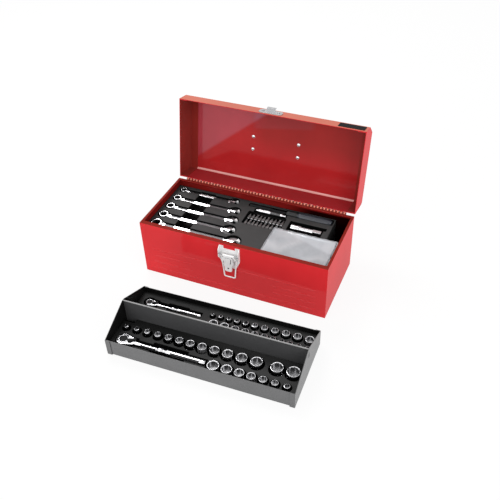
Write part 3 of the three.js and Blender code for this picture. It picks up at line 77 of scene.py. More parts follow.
# Pieces are drawn in millimetres in the same places as the solids, then moved to metres.
SWAPPED_X_Z = Matrix(((0, 0, 1, 0), (0, 1, 0, 0), (1, 0, 0, 0), (0, 0, 0, 1)))
MILLIMETRE, METRE = Matrix.Scale(0.001, 4), Matrix.Scale(1000, 4)
IN_BOX = Matrix.Identity(4)
ON_HINGE = shifted(0.0, 101.7, 143.15)
IN_LID = ON_HINGE @ turned_by(-100.5, "X")
LID_MIDDLE = -101.7
LID_FRONT = -200.2
HANDLE_AXIS = 74.45
IN_HANDLE = IN_LID @ shifted(0.0, LID_MIDDLE, HANDLE_AXIS) @ turned_by(10.5, "X")
IN_TRAY = shifted(-168.8, -363.8, 0.0) @ turned_by(2.1)
ALONG_X, ALONG_Y, TO_FRONT = turned_by(90, "Y"), turned_by(-90, "X"), turned_by(90, "X")

DECK = 124.0
SPANNERS = ((17, 0), (14, 1), (13, 2), (12, 3), (10, 4))
SPANNER_X = -204.0
TROUGH_STARTS, TROUGH_ENDS = 45.0, 87.0
SPANNER_FRONT = -61.5
SPANNER_PITCH = 35.4
SPANNER_MIDDLE = 119.5
BIT_LINES = (20.1, 44.2)
BIT_MIDDLE = 28.5
BIT_PITCH = 9.2
BIT_ROW = 10
BIT_HEIGHT = 117.2
DRIVER = shifted(-26.0, 81.5, 121.0) @ ALONG_X
DRIVER_HANDLE = 93.4
BIT_HOLDER = shifted(-5.0, 68.2, 121.5) @ ALONG_X
EXTENSION = shifted(95.0, 34.5, 121.8) @ ALONG_X
INSERT_END = 184.4
TRAY_LENGTH, TRAY_WIDTH = 414.0, 175.0
TRAY_DECK = 28.0
TRAY_FLOOR = 2.6
SOCKET_ROWS = {
    "a": (18.5, 57.0, 10.4, 28.0, 14, 33.0, 25.0, 7.3, 4.5, 12, 10.0),
    "b": (235.0, 20.5, 25.0, 12.5, 7, 31.0, 24.8, 5.3, 4.2, 0, 0.0),
    "c": (179.0, 150.0, 7.4, 19.0, 11, 32.0, 19.0, 8.2, 3.4, 0, 0.0),
    "d": (190.0, 127.0, 21.0, 8.4, 11, 31.0, 18.9, 5.2, 3.4, 0, 0.0),
}
RATCHETS = {"large": (202.0, 15.0, 14.0, 25.0, 9.5, 80.0),
            "small": (135.0, 10.5, 17.5, 145.0, 6.3, 50.0)}
RATCHET_FLOOR = 17.0
DIAL_RIBS = 20


def socket_line(row):
    """Centre, line, radius and top of every socket in a row, in the tray's own place."""
    start, line, first, last, count, height, pitch, spacing, _, gap_at, gap = SOCKET_ROWS[row]
    found, x = [], start
    for index in range(count):
        radius = (first + (last - first) * index / (count - 1)) / 2
        if index:
            x += max(pitch, found[-1][2] + radius + spacing)
            x += gap if index == gap_at else 0.0
        found.append((x, line, radius, TRAY_FLOOR + height))
    return found


def spanner_sizes(size):
    """Ring radius, jaw radius, distance between their centres and shank width."""
    ring = (size * 1.5 + 1) / 2
    jaw = size * 1.05
    return ring, jaw, 55 + 10 * size - ring - jaw, size * 0.55 + 1.5


# ------------------------------------------------------------------ modelling
def moved(bm, place):
    bm.transform(place)
    return bm


def mesh_of(bm, name):
    """A mesh from a bmesh, which is used up."""
    mesh = bpy.data.meshes.new(name)
    bm.to_mesh(mesh)
    bm.free()
    return mesh


def bmesh_of(mesh):
    bm = bmesh.new()
    bm.from_mesh(mesh)
    return bm


def stood(name, data):
    """An object for the data, linked to the scene."""
    obj = bpy.data.objects.new(name, data)
    bpy.context.scene.collection.objects.link(obj)
    return obj


def final_mesh(obj):
    """The mesh that an object's modifiers leave."""
    return bpy.data.meshes.new_from_object(
        obj.evaluated_get(bpy.context.evaluated_depsgraph_get()))


def discard(obj):
    """Removes an object and its mesh or curve."""
    data = obj.data
    bpy.data.objects.remove(obj)
    bpy.data.batch_remove([data])


def gathered(parts):
    """One bmesh from several, each already in its place."""
    whole = bmesh.new()
    for part in parts:
        mesh = mesh_of(part, "part")
        whole.from_mesh(mesh)
        bpy.data.meshes.remove(mesh)
    return whole


def outwards(bm):
    bmesh.ops.remove_doubles(bm, verts=bm.verts, dist=0.0005)
    bmesh.ops.recalc_face_normals(bm, faces=bm.faces)
    return bm


def spun(profile, sides):
    """A profile of (radius, height) points spun about Z."""
    bm = bmesh.new()
    verts = [bm.verts.new((radius, 0.0, height)) for radius, height in profile]
    edges = [bm.edges.new(pair) for pair in zip(verts, verts[1:])]
    bmesh.ops.spin(bm, geom=verts + edges, cent=(0, 0, 0), axis=(0, 0, 1),
                   angle=math.tau, steps=sides, use_merge=True, use_duplicate=False)
    return bm


def turned(profile, sides=32):
    """A closed turned shape about Z."""
    return outwards(spun(profile, sides))


def rod(half, radius, ease, along=None, sides=20):
    """A rod along Z about its middle, its ends eased by ease across and along."""
    inner, stop = radius - ease, half - (along or ease)
    return turned([(0, -half), (inner, -half), (radius, -stop), (radius, stop), (inner, half),
                   (0, half)], sides)


def slab(outline, low, high):
    """A flat outline raised along Z."""
    bm = bmesh.new()
    base = bm.faces.new([bm.verts.new((x, y, low)) for x, y in outline])
    lifted = bmesh.ops.extrude_face_region(bm, geom=[base])["geom"]
    bmesh.ops.translate(bm, vec=(0, 0, high - low),
                        verts=[v for v in lifted if isinstance(v, bmesh.types.BMVert)])
    return outwards(bm)


def block(x0, x1, y0, y1, z0, z1):
    bm = bmesh.new()
    bmesh.ops.create_cube(bm, size=1.0)
    bmesh.ops.scale(bm, vec=(x1 - x0, y1 - y0, z1 - z0), verts=bm.verts)
    bmesh.ops.translate(bm, vec=((x0 + x1) / 2, (y0 + y1) / 2, (z0 + z1) / 2), verts=bm.verts)
    return bm


def eased(bm, width, segments=2, angle=30.0, chosen=None):
    """Rounds every edge sharper than angle, or only those that chosen picks."""
    limit = math.radians(angle)
    edges = [e for e in bm.edges if len(e.link_faces) == 2 and e.calc_face_angle(0.0) > limit
             and (chosen is None or chosen(e))]
    bmesh.ops.bevel(bm, geom=edges, offset=width, offset_type="OFFSET", segments=segments,
                    profile=0.5, affect="EDGES", material=-1, clamp_overlap=True, loop_slide=True)
    return bm


def rounded(points, radius, steps=4):
    """The outline with each corner replaced by an arc."""
    found = []
    for index, point in enumerate(points):
        here = Vector(point)
        before = (Vector(points[index - 1]) - here)
        after = (Vector(points[(index + 1) % len(points)]) - here)
        reach = min(radius, before.length * 0.45, after.length * 0.45)
        a = here + before.normalized() * reach
        b = here + after.normalized() * reach
        for step in range(steps + 1):
            t = step / steps
            found.append(tuple(a.lerp(here, t).lerp(here.lerp(b, t), t)))
    return found


def arc(x, y, radius, start, end, steps):
    """Points on an arc, angles in degrees."""
    return [(x + radius * math.cos(math.radians(start + (end - start) * i / steps)),
             y + radius * math.sin(math.radians(start + (end - start) * i / steps)))
            for i in range(steps + 1)]


def oblong(x0, x1, y0, y1, radius=0.0, steps=4):
    """A rectangle's outline, with its corners rounded if they have a radius."""
    corners = [(x0, y0), (x1, y0), (x1, y1), (x0, y1)]
    return rounded(corners, radius, steps) if radius else corners


def ball(radius, step, sides):
    """A sphere with a ring at every step of degrees."""
    return turned([(radius * math.sin(math.radians(a)), radius * math.cos(math.radians(a)))
                   for a in range(0, 181, step)], sides)


def grown(outline, distance):
    """A counter-clockwise outline moved outwards by a distance."""
    found = []
    for index, point in enumerate(outline):
        here = Vector(point)
        a = (here - Vector(outline[index - 1])).normalized()
        b = (Vector(outline[(index + 1) % len(outline)]) - here).normalized()
        na, nb = Vector((a.y, -a.x)), Vector((b.y, -b.x))
        middle = (na + nb).normalized()
        found.append(tuple(here + middle * (distance / max(0.4, middle.dot(na)))))
    return found


def flared(outline, floor, deck, flare=0.7):
    """A cutter for a pocket with a rounded foot and a rounded mouth at the deck."""
    rings = [(grown(outline, -flare), floor), (grown(outline, -flare * 0.3), floor + flare * 0.3),
             (outline, floor + flare), (outline, deck - flare),
             (grown(outline, flare * 0.3), deck - flare * 0.3), (grown(outline, flare), deck),
             (grown(outline, flare + 1.0), deck + 1.0)]
    bm = bmesh.new()
    face = bm.faces.new([bm.verts.new((x, y, rings[0][1])) for x, y in rings[0][0]])
    foot = face
    for points, height in rings[1:]:
        lifted = bmesh.ops.extrude_face_region(bm, geom=[face])["geom"]
        verts = [v for v in lifted if isinstance(v, bmesh.types.BMVert)]
        if face is not foot:
            bmesh.ops.delete(bm, geom=[face], context="FACES_ONLY")
        face = next(f for f in lifted if isinstance(f, bmesh.types.BMFace))
        order = [loop.vert for loop in face.loops]
        first, second = Vector(rings[0][0][0]), Vector(rings[0][0][1])
        start = min(range(len(order)), key=lambda i: (order[i].co.xy - first).length)
        order = order[start:] + order[:start]
        if (order[1].co.xy - second).length > (order[-1].co.xy - second).length:
            order = [order[0]] + order[:0:-1]
        for vert, (x, y) in zip(order, points):
            vert.co = (x, y, height)
        rings[0] = (points, height)
        assert len(verts) == len(points)
    return outwards(bm)


def carved(solid, cutters):
    """Cuts each pocket out of the solid."""
    body = stood("blank", mesh_of(solid, "blank"))
    for cutter in cutters:
        tool = stood("cutter", mesh_of(cutter, "cutter"))
        step = body.modifiers.new("cut", "BOOLEAN")
        step.operation, step.solver, step.object = "DIFFERENCE", "MANIFOLD", tool
        cut = final_mesh(body)
        body.modifiers.clear()
        old, body.data = body.data, cut
        bpy.data.meshes.remove(old)
        discard(tool)
    result = bmesh_of(body.data)
    discard(body)
    if not result.faces:
        raise RuntimeError("nothing is left after cutting")
    bmesh.ops.remove_doubles(result, verts=result.verts, dist=0.001)
    bmesh.ops.dissolve_limit(result, angle_limit=math.radians(0.5), verts=result.verts,
                             edges=result.edges)
    return result


def wire(points, radius, bend=2.5, steps=6, sides=6):
    """A round wire or tube through corner points, with a smooth bend at each."""
    path = [Vector(points[0])]
    for index in range(1, len(points) - 1):
        here = Vector(points[index])
        a = here + (Vector(points[index - 1]) - here).normalized() * bend
        b = here + (Vector(points[index + 1]) - here).normalized() * bend
        path += [a.lerp(here, i / steps).lerp(here.lerp(b, i / steps), i / steps)
                 for i in range(steps + 1)]
    path.append(Vector(points[-1]))
    curve = bpy.data.curves.new("wire", "CURVE")
    curve.dimensions = "3D"
    curve.bevel_depth = radius
    curve.bevel_resolution = sides
    curve.use_fill_caps = True
    spline = curve.splines.new("POLY")
    spline.points.add(len(path) - 1)
    for point, place in zip(spline.points, path):
        point.co = (*place, 1.0)
    holder = stood("wire", curve)
    mesh = final_mesh(holder)
    bm = bmesh_of(mesh)
    discard(holder)
    bpy.data.meshes.remove(mesh)
    return outwards(bm)


def middle_of(face):
    return face.calc_center_median()


def painted(bm, index, chosen=None):
    """Gives faces the material of that index."""
    for face in bm.faces:
        if chosen is None or chosen(face):
            face.material_index = index
    return bm


def smoothed(bm):
    for face in bm.faces:
        face.smooth = True


def piece(name, bm, finishes, body, place=IN_BOX, stands_for=(), sharp=38.0):
    """The finished object of a piece: in metres, in its place, riding on its body."""
    bm.transform(MILLIMETRE @ place)
    smoothed(bm)
    mesh = mesh_of(bm, name)
    mesh.set_sharp_from_angle(angle=math.radians(sharp))
    for finish in finishes:
        mesh.materials.append(finish)
    obj = stood(name, mesh)
    obj.modifiers.new("even shading", "WEIGHTED_NORMAL").keep_sharp = True
    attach(obj, body)
    if stands_for:
        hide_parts(*stands_for)
    return obj


def body_of_node(node):
    return frame["nodes"][node]["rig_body"]


def pressed(node, finishes, width=0.35, segments=2, sharp=38.0, paint=None):
    """A sheet part: a merged copy of its solid with every folded or cut edge eased."""
    bm = moved(bmesh_of(frame["nodes"][node].data), METRE)
    bmesh.ops.remove_doubles(bm, verts=bm.verts, dist=0.002)
    bmesh.ops.dissolve_limit(bm, angle_limit=math.radians(0.6), verts=bm.verts, edges=bm.edges)
    eased(bm, width, segments)
    painted(bm, 0)
    if paint:
        paint(bm)
    return piece(f"{node}_sheet", bm, finishes, body_of_node(node),
                 stands_for=(node,), sharp=sharp)


# ------------------------------------------------------------------ sizes and colours to change
def colour(name, text, value):
    return FloatVectorProperty(name=name, description=text, default=value, size=3,
                               subtype="COLOR", min=0.0, max=1.0)


def share(name, text, value):
    return FloatProperty(name=name, description=text, default=value, min=0.0, max=1.0,
                         subtype="FACTOR")


def millimetres(name, text, value):
    return FloatProperty(name=name, description=text, default=value * 0.001, min=0.0,
                         precision=4, subtype="DISTANCE", unit="LENGTH")


def watts(name, text, value):
    return FloatProperty(name=name, description=text, default=value, min=0.0, unit="POWER")


class EnamelSettings(bpy.types.PropertyGroup):
    outside: colour("Outside", "Enamel on the outside of the box and lid", (0.74, 0.030, 0.036))
    inside: colour("Inside", "Thinner enamel inside the lid and body", (0.52, 0.022, 0.024))
    in_box: colour("In the box", "Enamel on the walls round the insert, darkened as painted shade", (0.27, 0.013, 0.011))
    rim: colour("Rim", "Enamel on the folded rim of the box, darkened as a painted dark reflection", (0.27, 0.024, 0.016))
    by_hinge: colour("By the hinge", "Enamel on the lid's wall by the hinge, darkened as painted shade", (0.50, 0.024, 0.030))
    bend: colour("Bend", "Painted highlight along the bend inside the lid", (1.0, 0.50, 0.46))
    lip: colour("Lip", "Enamel on the front lip of the lid, lightened as a painted highlight", (0.62, 0.16, 0.105))
    lid_end: colour("Lid ends", "Enamel inside the lid's ends, darkened as painted shade", (0.33, 0.030, 0.022))
    hinge: colour("Hinge", "Enamel on the hinge", (0.26, 0.024, 0.016))
    knuckle: colour("Knuckles", "Painted highlight on the middles of the knuckles", (1.0, 0.33, 0.22))
    in_metal: colour("In metal", "Pale tone that polished tools reflect instead of the enamel: a painted reflection", (0.80, 0.79, 0.79))
    gloss: share("Roughness", "Roughness of the enamel under its gloss", 0.32)
    coat: share("Gloss outside", "Weight of the clear gloss on the outside", 0.3)
    coat_inside: share("Gloss inside", "Weight of the clear gloss in the lid's corner", 1.0)
    coat_low: share("Gloss low", "Weight of the clear gloss in the rest of the lid", 0.3)
    peel: millimetres("Peel size", "Distance between the dimples of the sprayed enamel", 1.6)


class MetalSettings(bpy.types.PropertyGroup):
    chrome: colour("Chrome", "Colour of the chrome plating", (0.83, 0.83, 0.85))
    chrome_roughness: share("Chrome roughness", "Roughness of clean chrome", 0.13)
    steel: colour("Steel", "Colour of plain steel", (0.42, 0.42, 0.43))
    steel_roughness: share("Steel roughness", "Roughness of plain steel", 0.34)
    latch: colour("Latch", "Bright plating of the latch", (1.0, 1.0, 1.0))
    catch: colour("Catch", "Plating of the catch on the lid", (0.50, 0.50, 0.51))
    bits: colour("Bits", "Colour of the driver bits", (0.30, 0.30, 0.30))
    smudges: share("Smudges", "How much handling dulls the metal", 0.35)


class PaintSettings(bpy.types.PropertyGroup):
    tray: colour("Tray paint", "Satin paint of the tray", (0.125, 0.125, 0.128))
    tray_inside: colour("Tray inside", "Thin dark paint inside the tray", (0.005, 0.005, 0.005))
    divider: colour("Divider", "Paint of the tray's divider, darkened as painted shade", (0.068, 0.068, 0.070))
    hem: colour("Hem", "Painted highlight on the divider's hem", (0.34, 0.34, 0.34))
    tray_roughness: share("Tray roughness", "Roughness of the tray's paint", 0.36)
    insert: colour("Box insert", "Moulded insert in the box", (0.050, 0.050, 0.050))
    tray_insert: colour("Tray insert", "Moulded inserts in the tray", (0.026, 0.026, 0.026))
    pocket: colour("Pockets", "Deep colour inside the moulded pockets", (0.004, 0.004, 0.004))
    insert_roughness: share("Insert roughness", "Roughness of the moulded inserts", 0.55)
    black: colour("Black plastic", "Grip, clips, label plate and dials", (0.009, 0.009, 0.010))
    handle: colour("Driver handle", "Smooth handle of the bit driver", (0.030, 0.034, 0.047))
    grain: millimetres("Grain", "Size of the moulded grain", 0.7)


class FilmSettings(bpy.types.PropertyGroup):
    film: colour("Film", "Milky film of the parts bag", (0.46, 0.49, 0.52))
    film_roughness: share("Film roughness", "Roughness of the film", 0.30)
    slack: millimetres("Fold depth", "Depth of the folds in the film", 1.5)
    frames: IntProperty(name="Settling frames", description="Frames of cloth simulation",
                        default=22, min=5, max=60)


class MakingSettings(bpy.types.PropertyGroup):
    sheet_edge: millimetres("Sheet edge", "Rounding of sheet edges and folds", 0.35)
    mould_edge: millimetres("Mould edge", "Rounding at the mouth of each moulded pocket", 0.8)
    forge_edge: millimetres("Forged edge", "Rounding on forged tools", 1.1)
    rim: millimetres("Socket rim", "Chamfer on the rim of each socket", 0.7)
    sides: IntProperty(name="Turned sides", description="Sides of a turned piece", default=48,
                       min=24, max=96)


class StageSettings(bpy.types.PropertyGroup):
    floor: colour("Floor", "Colour of the floor and backdrop", (0.97, 0.97, 0.97))
    ambient: FloatProperty(name="Ambient", description="Strength of the even light all round",
                           default=0.70, min=0.0, max=3.0)
    key: watts("Key lamp", "Power of the main soft lamp", 26.0)
    fill: watts("Fill lamp", "Power of the lamp at the right", 20.0)
    front: watts("Front lamp", "Power of the lamp in front", 10.0)


SETTINGS = {
    "toolbox_enamel": EnamelSettings, "toolbox_metal": MetalSettings,
    "toolbox_paint": PaintSettings, "toolbox_film": FilmSettings,
    "toolbox_making": MakingSettings, "toolbox_stage": StageSettings,
}


def making(name):
    """A size from the panel, in millimetres."""
    return getattr(bpy.context.scene.toolbox_making, name) * 1000


# ------------------------------------------------------------------ shared effects
def feed(tree, socket, value):
    """Sets a socket to a value, or links it to an output or to a node's first output."""
    if isinstance(value, bpy.types.Node):
        value = next(output for output in value.outputs if output.enabled)
    if isinstance(value, bpy.types.NodeSocket):
        tree.links.new(value, socket)
    else:
        socket.default_value = value


def node(tree, kind, at=(0, 0), inputs=(), **settings):
    """A node with its settings, then its inputs, each fed with a value or a link."""
    made = tree.nodes.new(kind if kind.startswith("NodeGroup") else "ShaderNode" + kind)
    made.location = at
    for name, value in settings.items():
        setattr(made, name, value)
    for name, value in dict(inputs).items():
        feed(tree, made.inputs[name], value)
    return made


def maths(tree, operation, at, *values):
    """A maths node on two values or links."""
    return node(tree, "Math", at, dict(enumerate(values)), operation=operation)


def blended(tree, at, factor, first, second, **settings):
    """A colour between two others."""
    return node(tree, "Mix", at, {"Factor": factor, "A": first, "B": second}, data_type="RGBA",
                **settings)


def effect(name, inputs, outputs, build):
    """A shader group with named sockets, built once. build returns what each output gives."""
    tree = bpy.data.node_groups.get(name)
    if tree is None:
        tree = bpy.data.node_groups.new(name, "ShaderNodeTree")
        for label, kind, value in inputs:
            socket = tree.interface.new_socket(name=label, in_out="INPUT", socket_type=kind)
            if value is not None:
                socket.default_value = value
        for label, kind in outputs:
            tree.interface.new_socket(name=label, in_out="OUTPUT", socket_type=kind)
        given = build(tree, node(tree, "NodeGroupInput", (-700, 0)).outputs)
        node(tree, "NodeGroupOutput", (600, 0), given)
    return tree


def build_drift(tree, given):
    """Colour that wanders a little between two tones."""
    patches = node(tree, "TexNoise", (-450, 0), {"Vector": given["Vector"],
                                                 "Scale": given["Scale"], "Detail": 3.0})
    spread = node(tree, "MapRange", (0, 0), {"Value": patches, "From Min": 0.35,
                                             "From Max": 0.65})
    return {"Colour": blended(tree, (250, 0), spread, given["Tone"], given["Second Tone"])}


def build_dulling(tree, given):
    """Roughness that rises in soft smudges and along fine rubbing marks."""
    smudge = node(tree, "TexNoise", (-450, 150), {"Vector": given["Vector"],
                                                  "Scale": given["Scale"], "Detail": 4.0})
    stretch = node(tree, "Mapping", (-650, -250), {"Vector": given["Vector"],
                                                   "Scale": (0.6, 9.0, 9.0)})
    rub = node(tree, "TexNoise", (-450, -150), {"Vector": stretch, "Scale": given["Scale"],
                                                "Detail": 2.0})
    both = maths(tree, "MULTIPLY", (-200, 0), smudge, rub)
    spread = node(tree, "MapRange", (0, 0), {"Value": both, "From Min": 0.12, "From Max": 0.42})
    gain = maths(tree, "MULTIPLY", (200, 0), spread, given["Amount"])
    return {"Roughness": maths(tree, "ADD", (400, 0), gain, given["Roughness"])}


def build_grain(tree, given):
    """Height of a fine grain: soft dimples with a finer speckle on them."""
    coarse = node(tree, "TexNoise", (-450, 150), {"Vector": given["Vector"],
                                                  "Scale": given["Scale"], "Detail": 1.0})
    finer = maths(tree, "MULTIPLY", (-650, -200), given["Scale"], 3.1)
    fine = node(tree, "TexVoronoi", (-450, -150), {"Vector": given["Vector"], "Scale": finer})
    return {"Height": node(tree, "Mix", (0, 0), {"Factor": given["Speckle"], "A": coarse,
                                                 "B": fine}, data_type="FLOAT")}


def build_creases(tree, given):
    """Height of long soft creases in thin film, and a painted highlight along them."""
    warp = node(tree, "TexNoise", (-650, 200), {"Vector": given["Vector"],
                                                "Scale": given["Scale"], "Detail": 2.0})
    fold = maths(tree, "ABSOLUTE", (-250, 200), maths(tree, "SUBTRACT", (-420, 200), warp, 0.5))
    sharp = node(tree, "MapRange", (-50, 200), {"Value": fold, "From Max": 0.09, "To Min": 1.0,
                                                "To Max": 0.0})
    fade = maths(tree, "MULTIPLY", (100, 0), sharp, 0.35)
    return {"Height": sharp,
            "Colour": blended(tree, (250, -100), fade, given["Tone"], given["Crease Tone"])}


def build_reach(tree, given):
    """How far a place lies along a direction: 0 until Start, 1 after Width more."""
    along = node(tree, "VectorMath", (-450, 0), {0: given["Vector"], 1: given["Direction"]},
                 operation="DOT_PRODUCT")
    end = maths(tree, "ADD", (-250, -150), given["Start"], given["Width"])
    return {"Mask": node(tree, "MapRange", (0, 0), {
        "Value": along.outputs["Value"], "From Min": given["Start"], "From Max": end},
        interpolation_type="SMOOTHSTEP")}


def build_crowns(tree, given):
    """Height of bars along X: leaning forward up to Change, crowned about their middles after."""
    parts = node(tree, "SeparateXYZ", (-650, 0), {"Vector": given["Vector"]}).outputs
    across = maths(tree, "SUBTRACT", (-450, 100), parts["Y"], given["First"])
    half = maths(tree, "MULTIPLY", (-450, -100), given["Pitch"], 0.5)
    away = maths(tree, "PINGPONG", (-250, 0), across, half)
    after = maths(tree, "GREATER_THAN", (-250, 250), parts["X"], given["Change"])
    fall = maths(tree, "MULTIPLY", (-100, 0), away, -1.0)
    pick = node(tree, "Mix", (100, 0), {"Factor": after, "A": across, "B": fall},
                data_type="FLOAT")
    return {"Height": maths(tree, "MULTIPLY", (300, 0), pick, given["Slope"])}


VECTOR, SCALE = ("Vector", "NodeSocketVector", None), ("Scale", "NodeSocketFloat", 10.0)
EFFECTS = {
    "tone drift": ((VECTOR, SCALE, ("Tone", "NodeSocketColor", None),
                    ("Second Tone", "NodeSocketColor", None)),
                   (("Colour", "NodeSocketColor"),), build_drift),
    "handling dulls": ((VECTOR, SCALE, ("Roughness", "NodeSocketFloat", 0.3),
                        ("Amount", "NodeSocketFloat", 0.1)),
                       (("Roughness", "NodeSocketFloat"),), build_dulling),
    "surface grain": ((VECTOR, SCALE, ("Speckle", "NodeSocketFloat", 0.3)),
                      (("Height", "NodeSocketFloat"),), build_grain),
    "film creases": ((VECTOR, SCALE, ("Tone", "NodeSocketColor", None),
                      ("Crease Tone", "NodeSocketColor", None)),
                     (("Height", "NodeSocketFloat"), ("Colour", "NodeSocketColor")), build_creases),
    "reach": ((VECTOR, ("Direction", "NodeSocketVector", None), ("Start", "NodeSocketFloat", 0.0),
               ("Width", "NodeSocketFloat", 0.01)), (("Mask", "NodeSocketFloat"),), build_reach),
    "crowned bars": ((VECTOR, ("First", "NodeSocketFloat", 0.0), ("Pitch", "NodeSocketFloat", 0.03),
                      ("Change", "NodeSocketFloat", 0.0), ("Slope", "NodeSocketFloat", 0.2)),
                     (("Height", "NodeSocketFloat"),), build_crowns),
}


def placed(tree, name, at, **values):
    """A shared effect in a material, with its own values."""
    made = node(tree, "Group", at, node_tree=effect(name, *EFFECTS[name]))
    made.label = name
    for label, value in values.items():
        feed(tree, made.inputs[label.replace("_", " ")], value)
    feed(tree, made.inputs["Vector"], tree.nodes["Object place"].outputs["Object"])
    return made


def bumped(tree, at, height, strength, distance):
    """A bump from a height."""
    return node(tree, "Bump", at, {"Height": height, "Strength": strength, "Distance": distance})


def finish(name, tone, second, roughness, dulls=0.0, drift=9.0, smudge=25.0, metallic=0.0,
           grain=None, depth=0.0, speckle=0.3, strength=0.3, **sockets):
    """A painted, plated or moulded finish. grain is the grain's size in metres."""
    look = bpy.data.materials.get(name)
    if look:
        return look
    look = bpy.data.materials.new(name)
    look.use_nodes = True
    tree = look.node_tree
    shader = tree.nodes["Principled BSDF"]
    place = node(tree, "TexCoord", (-1000, 0))
    place.name = "Object place"
    sockets["Base Color"] = placed(tree, "tone drift", (-600, 200), Scale=drift,
                                   Tone=(*tone, 1.0), Second_Tone=(*second, 1.0))
    sockets["Roughness"] = placed(tree, "handling dulls", (-600, -50), Scale=smudge,
                                  Roughness=roughness, Amount=dulls)
    sockets["Metallic"] = metallic
    if grain:
        fine = placed(tree, "surface grain", (-600, -300), Scale=1.0 / grain, Speckle=speckle)
        sockets["Normal"] = bumped(tree, (-300, -300), fine, strength, depth)
    for label, value in sockets.items():
        feed(tree, shader.inputs[label.replace("_", " ")], value)
    return look


def shade(tone, factor):
    return tuple(min(1.0, channel * factor) for channel in tone)


def overlap(tree, reaches):
    """A mask that is full where every (direction, start, width) reach is full."""
    total = None
    for direction, start, width in reaches:
        mask = placed(tree, "reach", (-900, 600), Direction=direction, Start=start, Width=width)
        total = mask if total is None else maths(tree, "MULTIPLY", (-700, 600), total, mask)
    return total


def recoloured(look, name, tone, factor, **settings):
    """Blends tone over the colour once, by a factor that is worked out from the tree."""
    tree = look.node_tree
    if name not in tree.nodes:
        colour_in = tree.nodes["Principled BSDF"].inputs["Base Color"]
        blend = blended(tree, (-200, 300), factor(tree), colour_in.links[0].from_socket,
                        (*tone, 1.0), **settings)
        blend.name = name
        feed(tree, colour_in, blend)
    return look


def tinted(look, name, tone, *reaches):
    """Multiplies the colour by tone where the reaches overlap."""
    return recoloured(look, name, tone, lambda tree: overlap(tree, reaches),
                      blend_type="MULTIPLY")


def varied(look, label, low, high, *reaches):
    """Runs a number socket of the shader from low to high where the reaches overlap."""
    tree = look.node_tree
    if label not in tree.nodes:
        spread = node(tree, "MapRange", (-300, 600), {"To Min": low, "To Max": high,
                                                      "Value": overlap(tree, reaches)})
        spread.name = label
        feed(tree, tree.nodes["Principled BSDF"].inputs[label], spread)
    return look


def painted_reflection_in_metal(look, tone, part=0.8):
    """Polished tools beside this finish pick up part of tone instead of its own colour: a painted
    reflection.
    """
    def factor(tree):
        paths = node(tree, "LightPath", (-600, 500))
        return maths(tree, "MULTIPLY", (-400, 450), paths.outputs["Is Glossy Ray"], part)
    return recoloured(look, "In polished metal", tone, factor)


def enamel(name, tone, second=0.8, roughness=None, reflected=None, tints=(), **values):
    """Sprayed red enamel in a tone of its own, with a painted paler reflection where polished metal
    reflects it.
    """
    look = bpy.context.scene.toolbox_enamel
    own = getattr(look, tone)
    settings = {"dulls": 0.08, "drift": 9.0, "grain": look.peel, "depth": 0.00010,
                "speckle": 0.15, "strength": 0.3, "Coat_Roughness": 0.1,
                "Specular_IOR_Level": 0.0, **values}
    made = finish(name, own, shade(own, second), look.gloss if roughness is None else roughness,
                  **settings)
    for tint in tints:
        tinted(made, *tint)
    return painted_reflection_in_metal(made, reflected or look.in_metal)


def outer_enamel(name, tone):
    """The full coat of the outside."""
    return enamel(name, tone, 0.9, dulls=0.06, drift=7.0, depth=0.00012, speckle=0.12,
                  strength=0.35, Coat_Weight=bpy.context.scene.toolbox_enamel.coat,
                  Coat_Roughness=0.07)


def enamel_outside():
    return outer_enamel("red enamel", "outside")


def shaded_enamel_inside():
    # The inside tone is a darker red than the outside: painted shade in the lid's interior.
    look = bpy.context.scene.toolbox_enamel
    # Pink tints over the lid's upper left are painted reflections; the shaded end darkens its upper
    # right as painted shade.
    corner = ((-0.766, 0.0, 1.0), 0.322, 0.012)
    made = enamel("red enamel inside", "inside", 0.86, strength=0.25, Coat_Roughness=0.08, tints=(
        ("polished corner", (0.97, 1.9, 2.6), corner),
        ("polished edge", (0.97, 1.7, 2.0), ((-0.15, 0.0, 1.0), 0.272, 0.008),
         ((-1.0, 0.0, 0.0), -0.10, 0.02), ((1.0, 0.0, 0.0), -0.065, 0.02)),
        ("shaded end", (0.74, 0.95, 0.78), ((0.0, 0.0, 1.0), 0.20, 0.06),
         ((1.0, 0.0, 0.0), -0.08, 0.06))))
    return varied(made, "Coat Weight", look.coat_low, look.coat_inside, corner)


def shaded_enamel_by_hinge():
    # A darker red than outside: painted shade on the lid's wall by the hinge.
    return enamel("red enamel by the hinge", "by_hinge", 0.86, strength=0.25, Coat_Weight=0.15)


def bend_painted_highlight():
    # A pale pink along the bend: painted highlight.
    return enamel("red enamel on the bend", "bend", roughness=0.3, grain=None, Coat_Weight=0.5,
                  Specular_IOR_Level=0.3)


def lip_painted_highlight():
    # A pale orange lip: painted highlight.
    return outer_enamel("red enamel on the lip", "lip")


def shaded_enamel_in_lid_ends():
    # A dark brown-red: painted shade inside the lid's ends.
    return enamel("red enamel in the lid's ends", "lid_end", strength=0.25, Coat_Weight=0.15)


def shaded_enamel_in_box():
    # The walls round the insert are darkened as painted shade, darker still low at the right as a
    # painted shadow, and polished tools reflect them nearly black: a painted dark reflection.
    gap = ("deep gap", (0.05, 0.05, 0.05), ((1.0, 0.0, 0.0), 0.05, 0.08),
           ((0.0, 0.0, -1.0), -0.137, 0.005))
    return enamel("red enamel in the box", "in_box", reflected=(0.02, 0.02, 0.02), tints=(gap,),
                  Coat_Weight=0.1, Coat_Roughness=0.15)


def rim_painted_dark_reflection():
    # A dark red on the rim's top: painted dark reflection.
    return enamel("red enamel on the rim", "rim", Coat_Weight=0.12)


def shaded_enamel_on_hinge():
    # A dark red: painted shade on the hinge.
    return enamel("red enamel on the hinge", "hinge", roughness=0.3, Coat_Weight=0.15,
                  Coat_Roughness=0.12, Specular_IOR_Level=0.1)


